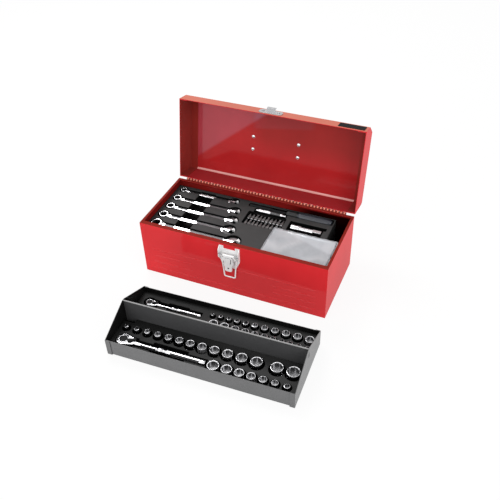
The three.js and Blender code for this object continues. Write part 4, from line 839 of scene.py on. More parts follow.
def knuckle_painted_highlights():
    # Pale orange enamel: painted highlights on the knuckles.
    return enamel("red enamel on the knuckles", "knuckle", roughness=0.3, Coat_Weight=0.1,
                  Coat_Roughness=0.12, Specular_IOR_Level=0.3)


def plated(name, tone, second=0.9, metallic=1.0, roughness=0.2, **more):
    """A plating with faint handling marks."""
    return finish(name, tone, shade(tone, second), roughness, drift=30.0, smudge=60.0,
                  dulls=bpy.context.scene.toolbox_metal.smudges * 0.25, metallic=metallic,
                  grain=0.002, depth=0.00002, speckle=0.1, strength=0.15, **more)


def bright_plating(name):
    look = bpy.context.scene.toolbox_metal
    return plated(name, look.chrome, 0.93, roughness=look.chrome_roughness)


def chrome():
    return bright_plating("bright chrome")


def spanner_chrome():
    """Chrome whose bars lean or crown, so that each catches the light along its front."""
    made = bright_plating("spanner chrome")
    tree = made.node_tree
    if "lean" not in tree.nodes:
        fine = tree.nodes["Principled BSDF"].inputs["Normal"].links[0].from_node
        bars = placed(tree, "crowned bars", (-900, -500), First=(SPANNER_FRONT + 2.5) * 0.001,
                      Pitch=SPANNER_PITCH * 0.001, Change=-0.119, Slope=0.24)
        lean = bumped(tree, (-600, -500), bars, 1.0, 1.0)
        lean.name = "lean"
        feed(tree, fine.inputs["Normal"], lean)
    return made


def chrome_painted_bright():
    # White and not metallic: a painted reflection of bright chrome, on the latch, its wire loop and
    # the spanners' upper prongs.
    return plated("latch chrome", bpy.context.scene.toolbox_metal.latch, metallic=0.0,
                  Specular_IOR_Level=1.0, Coat_Weight=1.0, Coat_Roughness=0.1)


def slot_shade_chrome():
    # Dark grey chrome: painted shade on the shanks where they lie in their slots.
    return plated("dull chrome", (0.26, 0.26, 0.27), roughness=0.25)


def catch_chrome():
    return plated("catch chrome", bpy.context.scene.toolbox_metal.catch)


def bore_floor_steel():
    return plated("bore floor steel", (0.42, 0.42, 0.43), roughness=0.45)


def bare_steel(name, tone, second, roughness, dulls=0.1, drift=60.0, grain=0.0012, speckle=0.4,
               strength=0.3):
    """Steel without plating."""
    return finish(name, tone, shade(tone, second), roughness, dulls=dulls, drift=drift,
                  smudge=90.0, metallic=1.0, grain=grain, depth=0.00003, speckle=speckle,
                  strength=strength)


def steel():
    look = bpy.context.scene.toolbox_metal
    return bare_steel("plain steel", look.steel, 0.8, look.steel_roughness, look.smudges * 0.4)


def bore_steel():
    look = bpy.context.scene.toolbox_metal
    return bare_steel("shaded bore steel", shade(look.steel, 0.35), 0.25 / 0.35, 0.42, drift=80.0,
                      grain=0.001, speckle=0.3)


def painted_steel(name, tone, second=0.9, roughness=None, **more):
    """Satin paint on the tray's sheet."""
    look = bpy.context.scene.toolbox_paint
    own = getattr(look, tone)
    values = {"dulls": 0.08, "speckle": 0.35, **more}
    return finish(name, own, shade(own, second), roughness or look.tray_roughness, drift=8.0,
                  grain=0.0011, depth=0.00008, strength=0.3, **values)


def tray_paint():
    return painted_steel("tray paint", "tray", 0.88, Coat_Weight=0.15, Coat_Roughness=0.2)


def tray_inside_shade():
    # Near black: painted shade inside the tray.
    return painted_steel("tray inside paint", "tray_inside", 1.5, 0.5, dulls=0.1,
                         Specular_IOR_Level=0.12)


def insert_finish(name, tone, shine=0.25):
    look = bpy.context.scene.toolbox_paint
    return finish(name, tone, shade(tone, 0.8), look.insert_roughness, dulls=0.1, drift=14.0,
                  grain=look.grain, depth=0.00008, speckle=0.6, strength=0.45,
                  Specular_IOR_Level=shine)


def insert_plastic():
    return insert_finish("insert plastic", bpy.context.scene.toolbox_paint.insert)


def tray_insert_plastic():
    made = insert_finish("tray insert plastic", bpy.context.scene.toolbox_paint.tray_insert)
    # Darker towards the left end: painted shade.
    return tinted(made, "left end", (0.22, 0.22, 0.22), ((-1.0, 0.0, 0.0), -0.09, 0.14))


def pocket_shade_plastic():
    # Near black: painted shade inside the pockets.
    return insert_finish("pocket plastic", bpy.context.scene.toolbox_paint.pocket, 0.08)


def divider_shaded_paint():
    # Darker than the tray's outside: painted shade on the divider.
    return painted_steel("divider paint", "divider", Coat_Weight=0.05, Coat_Roughness=0.2,
                         Specular_IOR_Level=0.2)


def hem_painted_highlight():
    # Light grey: painted highlight on the hem.
    return painted_steel("hem paint", "hem", speckle=0.3)


def below_deck(deck):
    """Picks the faces inside the pockets of a moulded deck."""
    return lambda face: middle_of(face).z < deck - 0.9


def blackened(name, shares, roughness, depth=0.00003, grain=None, **more):
    """A black finish between two shares of the black in the settings."""
    look = bpy.context.scene.toolbox_paint
    values = {"dulls": 0.1, "strength": 0.2, **more}
    return finish(name, shade(look.black, shares[0]), shade(look.black, shares[1]), roughness,
                  grain=grain or look.grain, depth=depth, **values)


def black_plastic():
    return blackened("black plastic", (1.0, 1.5), 0.38, 0.00005, dulls=0.12, drift=40.0,
                     speckle=0.5, strength=0.3)


def dial_black():
    return finish("dial black", (0.012, 0.012, 0.012), (0.016, 0.016, 0.016), 0.55, drift=40.0,
                  grain=0.0008, depth=0.00003, speckle=0.3, strength=0.3, Specular_IOR_Level=0.15)


def label_black():
    return blackened("label black", (0.5, 0.9), 0.5, drift=30.0, speckle=0.5,
                     Specular_IOR_Level=0.05)


def black_oxide():
    return blackened("black oxide", (0.6, 1.2), 0.4, 0.00002, 0.0008, drift=50.0,
                     Specular_IOR_Level=0.15)


def bit_steel():
    return bare_steel("bit steel", bpy.context.scene.toolbox_metal.bits, 0.7, 0.3, strength=0.2)


def handle_plastic():
    look = bpy.context.scene.toolbox_paint
    return finish("driver handle plastic", look.handle, shade(look.handle, 0.85), 0.26, dulls=0.1,
                  drift=25.0, grain=0.0009, depth=0.00003, strength=0.2, Coat_Weight=0.3,
                  Coat_Roughness=0.12)


def bag_film():
    look = bpy.context.scene.toolbox_film
    made = finish("milky film", look.film, shade(look.film, 0.86), look.film_roughness, dulls=0.12,
                  drift=30.0, Coat_Weight=0.7, Coat_Roughness=0.12, Specular_IOR_Level=0.6)
    tree = made.node_tree
    if "film creases" not in [n.label for n in tree.nodes]:
        shader = tree.nodes["Principled BSDF"]
        folds = placed(tree, "film creases", (-300, 350), Scale=9.0,
                       Tone=shader.inputs["Base Color"].links[0].from_socket,
                       Crease_Tone=(0.74, 0.74, 0.76, 1.0))
        feed(tree, shader.inputs["Base Color"], folds.outputs["Colour"])
        feed(tree, shader.inputs["Normal"],
             bumped(tree, (-100, -300), folds.outputs["Height"], 0.35, 0.0004))
    # Lighter along the rear right edge: painted highlight.
    return tinted(made, "bright edge", (1.35, 1.35, 1.35), ((0.35, 1.0, 0.0), 0.035, 0.012),
                  ((1.0, 0.0, 0.0), 0.10, 0.04))


# ------------------------------------------------------------------ sheet parts
# The limits of the inside of the box and lid, which a face's middle is tested against.
BOX_INSIDE_X, BOX_INSIDE_Y, BOX_FLOOR_TOP = 224.4, 97.9, 0.8
BOX_INSIDE_TOP, RIM_BASE = 142.5, 141.6
LID_INSIDE_X, LID_FLOOR_TOP, LID_DEPTH = 224.6, 1.0, 20
UP, WALL = 0.5, 0.95
BEND_FROM, BEND_TO, BEND_FALL = 0.92, 0.38, 0.15


def press_shell():
    """Box body and lid: enamelled sheet with eased folds, darkened inside as painted shade, with
    painted highlights on the lid's bend and lip and a painted dark reflection on the rim.
    """
    edge = making("sheet_edge")

    def body_inside(bm):
        for face in bm.faces:
            middle, normal = middle_of(face), face.normal
            within = (abs(middle.x) < BOX_INSIDE_X and abs(middle.y) < BOX_INSIDE_Y
                      and BOX_FLOOR_TOP < middle.z < BOX_INSIDE_TOP)
            face.material_index = 1 if within else 0
            if middle.z > RIM_BASE and normal.z > UP:
                face.material_index = 2

    def lid_inside(bm):
        back = IN_LID.inverted()
        for face in bm.faces:
            middle = back @ middle_of(face)
            reach = Vector((0, LID_MIDDLE - middle.y, LID_DEPTH - middle.z))
            normal = back.to_3x3() @ face.normal
            inwards = normal.dot(reach) > 1.0 or normal.x * middle.x < -0.5 * abs(middle.x)
            if abs(middle.x) < LID_INSIDE_X and inwards and middle.z > LID_FLOOR_TOP:
                face.material_index = 1
                if normal.y < -WALL:
                    face.material_index = 2
                elif -BEND_FROM < normal.y < -BEND_TO and normal.z < -BEND_FALL:
                    face.material_index = 3
            elif normal.y < -WALL and middle.y < LID_FRONT + 1.0:
                face.material_index = 4

    for name in ("body_wrap", "body_end_left", "body_end_right"):
        pressed(name, [enamel_outside(), shaded_enamel_in_box(), rim_painted_dark_reflection()], edge,
                paint=body_inside)
    pressed("lid_wrap", [enamel_outside(), shaded_enamel_inside(), shaded_enamel_by_hinge(), bend_painted_highlight(),
                         lip_painted_highlight()], edge, paint=lid_inside)
    for name in ("lid_end_left", "lid_end_right"):
        pressed(name, [enamel_outside()] + [shaded_enamel_in_lid_ends()] * 3 + [lip_painted_highlight()],
                edge, paint=lid_inside)


def knuckle(x0, x1):
    """A curled hinge knuckle with soft ends, a seam where the sheet meets itself and a painted
    highlight along its middle.
    """
    r, bore, soft, highlight_inset = 2.8, 1.65, 0.5, 2.1
    profile = [(bore, x0), (r - soft, x0), (r - soft * 0.3, x0 + soft * 0.3), (r, x0 + soft),
               (r, x0 + highlight_inset), (r, x1 - highlight_inset),
               (r, x1 - soft), (r - soft * 0.3, x1 - soft * 0.3), (r - soft, x1), (bore, x1),
               (bore, x0)]
    # The middle of each knuckle takes the pale enamel as a painted highlight.
    barrel = painted(turned(profile, 16), 1, lambda f: x0 + highlight_inset < middle_of(f).z
                     < x1 - highlight_inset and middle_of(f).xy.length > bore + 0.5)
    return moved(barrel, ALONG_X)


def curl_hinge():
    """Piano hinge: two leaves, curled knuckles and a pin with peened ends."""
    length, count = 410.0, 51
    pitch = length / count
    for node_name, first, direction, place, body in (
            ("hinge_leaf_body", 0, -1, ON_HINGE, "box"),
            ("hinge_leaf_lid", 1, 1, IN_LID, "lid")):
        near, far = sorted((direction * 3.4, direction * 16.4))
        parts = [eased(block(-length / 2, length / 2, -2.9, -1.7, near, far), 0.3)]
        for index in range(first, count, 2):
            x0 = -length / 2 + index * pitch + 0.25
            x1 = x0 + pitch - 0.5
            parts.append(knuckle(x0, x1))
            parts.append(eased(block(x0, x1, -2.9, -1.7, min(0, direction * 3.6),
                                     max(0, direction * 3.6)), 0.25))
        for index in range(7):
            x = -length / 2 + length * (index + 0.5) / 7
            dome = turned([(0, 0), (2.3, 0), (2.2, 0.35), (1.5, 0.75), (0, 0.9)], 20)
            parts.append(moved(dome, shifted(x, -1.7, direction * 10.5)
                               @ turned_by(-90, "X")))
        piece(f"{node_name}_curled", gathered(parts), [shaded_enamel_on_hinge(), knuckle_painted_highlights()],
              body, place, (node_name,))
    piece("hinge_pin_drawn", rod(205.0, 1.3, 0.3, 0.4), [steel()], "box",
          ON_HINGE @ ALONG_X, ("hinge_pin",))


def dome_rivet(node, body, finish, place, low, high, head=3.4):
    """A rivet's piece: a shank along Z with a domed head at both ends."""
    rise, shank = 1.3, 1.8
    quarter = [(head * math.sin(math.radians(a)), rise * math.cos(math.radians(a)))
               for a in (90, 72, 54, 36, 18)]
    top = [(radius, high + lift) for radius, lift in quarter]
    foot = [(radius, low - lift) for radius, lift in reversed(quarter)]
    profile = ([(0, low - rise)] + foot + [(shank, low), (shank, high)] + top
               + [(0, high + rise)])
    piece(f"{node}_domed", turned(profile, 28), [finish], body, place, (node,))


SIDES = (("left", -1), ("right", 1))


def fit_handle():
    """Carry handle: brackets, rivets, a bent bar and a ribbed moulded grip."""
    for side in ("left", "right"):
        pressed(f"handle_bracket_{side}", [chrome()], 0.4)
    top = 63.15
    for side, sign in SIDES:
        for end, along in (("front", -1), ("back", 1)):
            dome_rivet(f"handle_rivet_{side}_{end}", "lid", chrome(),
                       IN_LID @ shifted(sign * 57.5, LID_MIDDLE + along * 16.0, 0),
                       top - 1.5, top + 2.2, 4.0)
    arm, tip = 57.5 - 9 - 3, 57.5 + 1.2 + 1.2
    bar = wire([(-tip, 0, 0), (-arm, 0, 0), (-arm, 34, 0), (arm, 34, 0), (arm, 0, 0), (tip, 0, 0)],
               3.0, bend=4.6, steps=8, sides=8)
    piece("handle_bar_bent", bar, [chrome()], "handle", IN_HANDLE, ("handle_bar",))
    half, r, bore = 42.0, 8.5, 3.3
    profile = [(bore, -half), (r - 1.6, -half), (r - 0.4, -half + 0.6), (r, -half + 1.8)]
    ribs = 17
    for index in range(ribs):
        middle = -half + 7.0 + index * (2 * half - 14.0) / (ribs - 1)
        profile += [(r, middle - 1.5), (r - 0.9, middle - 0.8), (r - 0.9, middle + 0.8),
                    (r, middle + 1.5)]
    profile += [(r, half - 1.8), (r - 0.4, half - 0.6), (r - 1.6, half), (bore, half),
                (bore, -half)]
    grip = moved(turned(profile, 36), shifted(0, 34, 0) @ ALONG_X)
    piece("handle_grip_moulded", grip, [black_plastic()], "handle", IN_HANDLE,
          ("handle_grip",))


def fit_catch():
    """Catch plate with its hook, two rivets and a bare black label plate on the lip."""
    pressed("catch_plate", [catch_chrome()], 0.4)
    for side, sign in SIDES:
        dome_rivet(f"catch_rivet_{side}", "lid", steel(),
                   IN_LID @ shifted(sign * 18.95, LID_FRONT + 1.5, 15.15) @ TO_FRONT, 0, 3.5)
    face = LID_FRONT - 0.3
    plate = eased(slab(oblong(159, 219, -12, 12, 3.0, 5), 0, 0.6), 0.18, 2, 60)
    rim = slab(oblong(160.2, 217.8, -10.8, 10.8, 2.4, 5), 0.5, 0.62)
    plate = moved(gathered([plate, rim]), shifted(0, face, 17.15) @ TO_FRONT)
    piece("label_plate_bare", plate, [label_black()], "lid", IN_LID,
          ("label_plate",))


def fit_latch():
    """Draw latch on the front: base plate, pin, lever with its tongue, and the wire loop."""
    pressed("latch_base", [chrome_painted_bright()], 0.4)
    piece("latch_pin_drawn", rod(24.5, 1.5, 0.4), [steel()], "box",
          shifted(0, -106.5, 119.0) @ ALONG_X, ("latch_pin",))
    for side, sign in SIDES:
        dome_rivet(f"latch_rivet_{side}", "box", steel(),
                   shifted(sign * 7.5, -97.0, 96.5) @ TO_FRONT, 0, 3.2)
    face, top, waist, tip = -108.3, 120.5, 92.0, 75.0
    outline = rounded([(-14.5, top), (-14.5, 102), (-9, waist), (-9, tip), (9, tip), (9, waist),
                       (14.5, 102), (14.5, top)], 6.0, 6)
    plate = slab(outline, 0, 1.4)
    hole = moved(turned([(0, -1), (2.9, -1), (2.3, 0.5), (2.3, 0.9), (2.9, 2.4), (0, 2.4)], 28),
                 shifted(0, 84.0, 0))
    plate = eased(carved(plate, [hole]), 0.3, 2, 50)
    boss = slab(rounded([(-5.2, 96), (5.2, 96), (7.5, 114), (-7.5, 114)], 3.5, 6), 1.2, 2.2)
    eased(boss, 0.7, 3, 40, lambda e: all(v.co.z > 2.0 for v in e.verts))
    # The boss's sides take the dark steel: painted shade lines beside the raised panel.
    painted(boss, 1, lambda f: abs(f.normal.z) < 0.9)
    # A dark disc in the padlock hole: painted shade.
    dimple = painted(moved(turned([(0, 0.2), (2.6, 0.2), (2.6, 0.5), (0, 0.5)], 24),
                           shifted(0, 84.0, 0)), 1)
    curl = moved(rod(12.6, 2.5, 0.5, sides=24), shifted(0, 119.0, -1.4) @ ALONG_X)
    lugs = []
    for sign in (-1, 1):
        outer = sign * 14.5
        inner = outer - sign * 1.4
        side = rounded([(0, 105.1), (-8, 105.1), (-8, 110.9), (-4.7, 121.9), (0, 121.9)], 1.5, 3)
        lug = moved(slab(side, min(inner, outer), max(inner, outer)), SWAPPED_X_Z)
        lugs.append(eased(outwards(lug), 0.3, 2, 40))
    lever = moved(gathered([plate, boss, dimple, curl] + lugs), shifted(0, face, 0) @ TO_FRONT)
    front = face - 1.4
    # Thin wires painted dark steel: painted shade lines for the slots and shadows beside the wire
    # loop.
    seams = [wire([(x, front, z) for x, z in line], 0.65) for line in (
        [(8.6, 117.5), (12.6, 116.5), (13.4, 112.0), (13.2, 104.0)],
        [(7.6, 112.0), (6.9, 106.0), (6.3, 99.0)],
        [(-12.6, 117.0), (-10.7, 115.0)],
        [(-10.8, 104.0), (-10.4, 98.5)])]
    lever = gathered([outwards(lever)] + [painted(seam, 1) for seam in seams])
    piece("latch_lever_pressed", lever, [chrome_painted_bright(), bore_steel()], "latch_lever",
          IN_BOX, ("latch_lever",))
    high, low, y = 108.0, 54.0, -103.2
    loop = wire([(-11.7, y, high), (-17.5, y, high), (-12.8, y, low), (12.8, y, low),
                 (17.5, y, high), (11.7, y, high)], 1.5, bend=3.4, steps=8, sides=6)
    piece("latch_bail_bent", loop, [chrome_painted_bright()], "latch_bail", IN_BOX,
          ("latch_bail",))


# ------------------------------------------------------------------ what lies in the box
def circle_outline(x, y, radius, sides=48):
    return arc(x, y, radius, 0, 360, sides)[:-1]


def mould_base_insert():
    """The deck in the box with a rounded pocket for every tool."""
    flare = making("mould_edge")
    blank = eased(block(-222.3, INSERT_END, -95.4, 95.4, 2.4, DECK), 1.0, 3)
    cutters = [block(-219.8, INSERT_END - 2.5, -92.9, 92.9, 1.2, 104.0)]
    for size, index in SPANNERS:
        ring, jaw, reach, shank = spanner_sizes(size)
        y = SPANNER_FRONT + index * SPANNER_PITCH
        half = shank * 0.62 + 0.9
        cutters += [
            flared(circle_outline(SPANNER_X, y, ring + 3), 114.5, DECK, flare),
            flared(circle_outline(SPANNER_X + reach, y, jaw + 3), 114.45, DECK, flare),
            flared(oblong(SPANNER_X, SPANNER_X + reach, y - half, y + half), 115.3, DECK,
                   flare * 0.6)]
    for outline, floor, part in (
            (oblong(-159, -119.5, -61.5, 88.95, 3), 106.0, 1.0),
            (oblong(-29, 67.4, 74.5, 88.5, 5.5, 6), 111.7, 0.7),
            (oblong(64.4, 181.4, 70.5, 92.5, 4, 5), 111.7, 0.7),
            (oblong(-8, 73, 57.0, 73.1, 2), 116.9, 0.5),
            (oblong(-19, 76, 8.5, 58.3, 3), 110.0, 1.0),
            (oblong(87, 169.5, 13.5, 55.5, 3), 111.0, 1.0),
            (oblong(87, 175, 44.5, 55.5, 1.5), 111.0, 0.7)):
        cutters.append(flared(outline, floor, DECK, flare * part))
    # Faces inside the pockets, and the two seats, take the near-black pocket finish: painted shade.
    deck = painted(carved(blank, cutters), 1, below_deck(DECK))
    painted(deck, 0, lambda f: middle_of(f).x > INSERT_END - 0.1)
    seats = [eased(block(x, x + 3, 27, 42, 110, top), 0.4)
             for x, top in ((109.4, 114.0), (134.6, 115.67))]
    piece("base_insert_moulded", gathered([deck] + [painted(seat, 1) for seat in seats]),
          [insert_plastic(), pocket_shade_plastic()], "box",
          IN_BOX, ("base_insert",), sharp=45.0)


def double_hex(apothem, angle):
    """Radius of a twelve-point bore in that direction, in radians."""
    def flat(a):
        return apothem / math.cos((a % math.radians(60)) - math.radians(30))
    return max(flat(angle), flat(angle + math.radians(30)))


def level_rim(bm, height):
    """The open edges of a spun shape at a height."""
    return [e for e in bm.edges if e.is_boundary
            and all(abs(v.co.z - height) < 1e-4 for v in e.verts)]


def star(bm, bore, height, sides):
    """A twelve-point loop of edges at a height."""
    mouth = bmesh.ops.create_circle(bm, cap_ends=False, segments=sides, radius=bore,
                                    matrix=shifted(0, 0, height))["verts"]
    for vert in mouth:
        vert.co.xy *= double_hex(bore, math.atan2(vert.co.y, vert.co.x)) / bore
    return list({e for v in mouth for e in v.link_edges})


def bored(profile, bore, top, floor, sides=48, chamfer=0.7, dark=1):
    """A turned outside that closes on a twelve-point bore. The profile ends at the rim."""
    bm = spun(profile, sides)
    bmesh.ops.remove_doubles(bm, verts=bm.verts, dist=0.0005)
    rim = level_rim(bm, profile[-1][1])
    mouth = star(bm, bore, top - chamfer, sides)
    bmesh.ops.bridge_loops(bm, edges=rim + mouth)
    known = set(bm.faces)
    low = bmesh.ops.extrude_edge_only(bm, edges=mouth)["geom"]
    bmesh.ops.translate(bm, vec=(0, 0, floor - top + chamfer),
                        verts=[g for g in low if isinstance(g, bmesh.types.BMVert)])
    bmesh.ops.edgeloop_fill(bm, edges=[g for g in low if isinstance(g, bmesh.types.BMEdge)])
    painted(bm, dark, lambda face: face not in known)
    left = [e for e in bm.edges if e.is_boundary]
    if left:
        bmesh.ops.holes_fill(bm, edges=left)
    return outwards(bm)


def jaw_outline(radius, size):
    """The open end: a round head with a parallel mouth along +X and a curved throat."""
    half = size / 2
    edge = math.degrees(math.asin(min(0.96, half / radius)))
    head = arc(0, 0, radius, edge + 4, 360 - edge - 4, 34)
    throat = radius * 0.25
    back = [(throat + half * 0.28 * (1 - (y / half) ** 2) * -1.0, y)
            for y in (-half, -half * 0.8, -half * 0.4, 0, half * 0.4, half * 0.8, half)]
    lip = radius * math.cos(math.radians(edge))
    return head + [(lip * 0.985, -half - 0.15), (lip * 0.9, -half)] + back + [
        (lip * 0.9, half), (lip * 0.985, half + 0.15)]


def split(bm, *cuts):
    """Cuts faces along planes, each (point, normal), so that parts can be painted apart."""
    for point, normal in cuts:
        bmesh.ops.bisect_plane(bm, geom=bm.verts[:] + bm.edges[:] + bm.faces[:], plane_co=point,
                               plane_no=normal)
    return bm


def forge_spanners():
    """Five combination spanners: a twelve-point ring, a flat shank and an open jaw."""
    edge = making("forge_edge")
    for size, index in SPANNERS:
        ring, jaw, reach, shank = spanner_sizes(size)
        soft = min(edge, 0.9)
        bore_corner = 0.577 * size
        profile = [(bore_corner + 0.9, -5), (ring - soft, -5),
                   (ring - soft * 0.3, -5 + soft * 0.3), (ring, -5 + soft), (ring, 5 - soft),
                   (ring - soft * 0.3, 5 - soft * 0.3), (ring - soft, 5), (bore_corner + 0.85, 5)]
        parts = [through_bored(profile, size / 2, 5, -5)]
        mouth = shifted(reach, 0, -1.5) @ turned_by(-15)
        head = eased(slab(jaw_outline(jaw, size), -3.25, 3.25), min(0.9, edge), 3, 40)
        split(head, ((jaw * 0.25, 0, 0), (1, 0, 0)), ((0, 0, 0), (0, 1, 0)))
        split(head, ((0, -jaw * 0.25, 0), (0, 1, 0)))
        # The lower prong and lower edge of each jaw take dark steel as painted shade; the upper
        # prong takes the white latch finish as a painted highlight.
        painted(head, 1, lambda f: middle_of(f).y < -jaw * 0.25
                or middle_of(f).x > jaw * 0.25 and middle_of(f).y < 0)
        painted(head, 3, lambda f: middle_of(f).x > jaw * 0.25
                and middle_of(f).y > 0)
        parts.append(moved(head, mouth))
        start, end, wide, far = ring * 0.86, reach - jaw * 0.8, shank * 0.55, shank * 0.62
        sides = [(start, ring * 0.52), (start + 4, wide * 1.22), (start + 10, wide),
                 (end - 12, far), (end - 5, far * 1.25), (end, jaw * 0.7)]
        outline = [(x, -y) for x, y in sides] + [(x, y) for x, y in reversed(sides)]
        blade = eased(slab(outline, -3.9, 0.9), min(1.0, edge), 3, 40)
        seams = (start + 9, TROUGH_STARTS, TROUGH_ENDS, end - 8)

        # Shank stretches lying in their slots take the darker chrome: painted slot shade.
        def in_slot_shade(face):
            middle = middle_of(face)
            return (seams[0] < middle.x < seams[1] and middle.y > -wide * 0.3
                    or seams[2] < middle.x < seams[3])

        panel = slab(rounded([(start + 13, -wide * 0.52), (end - 16, -far * 0.52),
                              (end - 16, far * 0.52), (start + 13, wide * 0.52)], wide * 0.5, 4),
                     0.8, 1.05)
        for part in (blade, panel):
            split(part, *(((x, 0, 0), (1, 0, 0)) for x in seams), ((0, -wide * 0.3, 0), (0, 1, 0)))
            parts.append(painted(part, 2, in_slot_shade))
        place = shifted(SPANNER_X, SPANNER_FRONT + index * SPANNER_PITCH, SPANNER_MIDDLE)
        name = f"spanner_{index + 1}"
        piece(f"{name}_forged", gathered(parts),
              [spanner_chrome(), bore_steel(), slot_shade_chrome(), chrome_painted_bright()], name,
              place, (name,))


def through_bored(profile, bore, top, bottom, sides=48, chamfer=0.6):
    """A turned ring whose hole is a twelve-point bore right through."""
    bm = spun(profile, sides)
    bmesh.ops.remove_doubles(bm, verts=bm.verts, dist=0.0005)
    rims = [level_rim(bm, height) for height in (top, bottom)]
    stars = [star(bm, bore, height, sides) for height in (top - chamfer, bottom + chamfer)]
    known = set(bm.faces)
    for rim, mouth in zip(rims, stars):
        bmesh.ops.bridge_loops(bm, edges=rim + mouth)
    bmesh.ops.bridge_loops(bm, edges=stars[0] + stars[1])
    # The bore faces take the dark steel: painted shade inside the ring.
    painted(bm, 1, lambda face: face not in known)
    return outwards(bm)


def assemble_driver():
    """Bit driver: black nose and shank, a knuckle and a smooth fluted handle."""
    nose = [(0, 0.9), (3.0, 0.9), (3.5, 0.2), (4.0, 0.2), (4.4, 0.7), (4.6, 1.6), (4.6, 12.0),
            (4.25, 12.5), (4.25, 13.4), (4.6, 13.9), (4.6, 51.6), (4.25, 52.1), (4.25, 53.0),
            (4.6, 53.4), (4.5, 54.4), (3.9, 55.4), (3.0, 56.0), (3.0, 120.5), (2.7, 120.8),
            (0, 120.8)]
    shaft = turned(nose, 32)
    bore = turned([(0, -1), (3.1, -1), (2.75, 1.2), (2.75, 28), (0, 28)], 6)
    piece("driver_shaft_turned", carved(shaft, [bore]), [black_oxide()], "driver",
          DRIVER, ("driver_shaft",))
    profile = [(0, 27.7), (3.3, 27.7), (3.3, 0.0), (5.4, 0.0), (6.3, 0.4), (7.3, 1.5), (7.9, 3.4),
               (7.9, 8.0), (7.55, 8.7), (7.55, 10.3), (7.9, 11.0), (7.9, 22.0), (7.6, 24.6),
               (6.9, 26.4), (6.3, 27.5), (6.3, 28.4), (7.1, 29.6), (8.0, 31.2), (8.5, 34),
               (8.7, 41), (8.85, 51), (9.0, 63), (9.0, 79), (8.85, 91), (8.6, 100.0), (8.1, 105.0),
               (7.1, 108.6), (5.9, 110.2), (4.2, 110.9), (0, 111)]
    handle = turned(profile, 60)
    for vert in handle.verts:
        reach = vert.co.xy.length
        along = vert.co.z
        if reach > 4 and 30 < along < 109:
            angle = math.atan2(vert.co.y, vert.co.x)
            wave = max(0.0, math.cos(6 * angle)) ** 3
            fade = min(1.0, (along - 30) / 12, (109 - along) / 10)
            vert.co.xy *= 1 - 0.07 * wave * fade
    painted(handle, 1, lambda f: middle_of(f).z < 27.8)
    piece("driver_handle_moulded", handle, [handle_plastic(), black_plastic()], "driver",
          DRIVER @ shifted(0, 0, DRIVER_HANDLE), ("driver_handle",))


def turn_bit_holder():
    """Magnetic bit holder: hexagon end, polished sleeve, a barrel in darker steel and a stepped
    collar.
    """
    profile = [(0, 0.5), (2.1, 0.5), (2.58, 1.0), (2.58, 5.9), (3.3, 6.2), (4.0, 6.7), (4.3, 7.4),
               (4.3, 17.5), (4.05, 18.0), (4.05, 19.2), (4.3, 19.7), (4.3, 35.4), (4.15, 36.0),
               (3.78, 36.6), (3.78, 61.6), (4.13, 62.2), (4.13, 65.8), (3.8, 66.3), (2.58, 66.5),
               (2.56, 69.6), (2.2, 70.1), (2.2, 71.4), (2.5, 71.9), (2.32, 74.6), (1.9, 75.0),
               (0, 75.0)]
    holder = turned(profile, 36)
    # The barrel takes the darker steel.
    painted(holder, 1, lambda f: 36.8 < middle_of(f).z < 61.6
            and Vector(middle_of(f).xy).length > 2.0)
    piece("bit_holder_turned", holder, [chrome(), bore_steel()], "holder", BIT_HOLDER,
          ("bit_holder",))


def bit(kind):
    """One screwdriver bit along Z, its tip up: hexagon, neck and a cross, star or flat tip."""
    hexagon = eased(moved(turned([(0, -10.0), (3.0, -10.0), (3.6, -9.3), (3.6, -4.4), (3.1, -3.9),
                                  (3.1, -3.1), (3.6, -2.6), (3.6, 2.1), (2.5, 3.2), (0, 3.2)], 6),
                          turned_by(30)), 0.25, 2, 35)
    neck = [(0, 2.6), (2.2, 2.6), (2.15, 5.5), (2.15, 7.4)]
    if kind == "flat":
        tip = turned(neck + [(2.1, 8.0), (0, 8.0)], 20)
        blade = eased(block(-2.15, 2.15, -0.95, 0.95, 6.5, 12.4), 0.2, 2)
        for vert in blade.verts:
            if vert.co.z > 10:
                vert.co.y *= 0.5
        return gathered([hexagon, tip, blade])
    tip = turned(neck + [(2.0, 8.2), (1.75, 9.6), (1.1, 11.4), (0.5, 12.3), (0, 12.5)], 32)
    ribs = {"cross": 4, "star": 6}[kind]
    for vert in tip.verts:
        if vert.co.z > 7.8:
            angle = math.atan2(vert.co.y, vert.co.x)
            vert.co.xy *= 1 - (0.42 if kind == "cross" else 0.2) * (0.5 + 0.5 * math.cos(
                ribs * angle)) ** 2
    if kind == "star":
        for vert in tip.verts:
            if vert.co.z > 8.4:
                vert.co.z = min(vert.co.z, 12.2)
    return gathered([hexagon, tip])


def cut_bits():
    """Two clips of ten bits each."""
    kinds = ("cross", "flat", "star", "cross", "star", "flat", "cross", "star", "flat", "cross")
    reach = BIT_PITCH * (BIT_ROW - 1) / 2
    for (side, line), turn in zip(zip(("front", "back"), BIT_LINES), (0, 3)):
        parts = [eased(block(BIT_MIDDLE - reach, BIT_MIDDLE + reach, line - 1, line + 1,
                             BIT_HEIGHT - 1.8, BIT_HEIGHT), 0.2)]
        for index in range(BIT_ROW):
            made = bit(kinds[(index + turn) % BIT_ROW])
            painted(made, 1, lambda f: middle_of(f).z < -9.0)
            at = shifted(BIT_MIDDLE - reach + index * BIT_PITCH, line, BIT_HEIGHT)
            parts.append(moved(made, at @ ALONG_Y))
        piece(f"bits_{side}_cut", gathered(parts), [bit_steel(), chrome()], "box", IN_BOX,
              (f"bits_{side}",))
        pressed(f"bit_clip_{side}", [black_plastic()], 0.3)


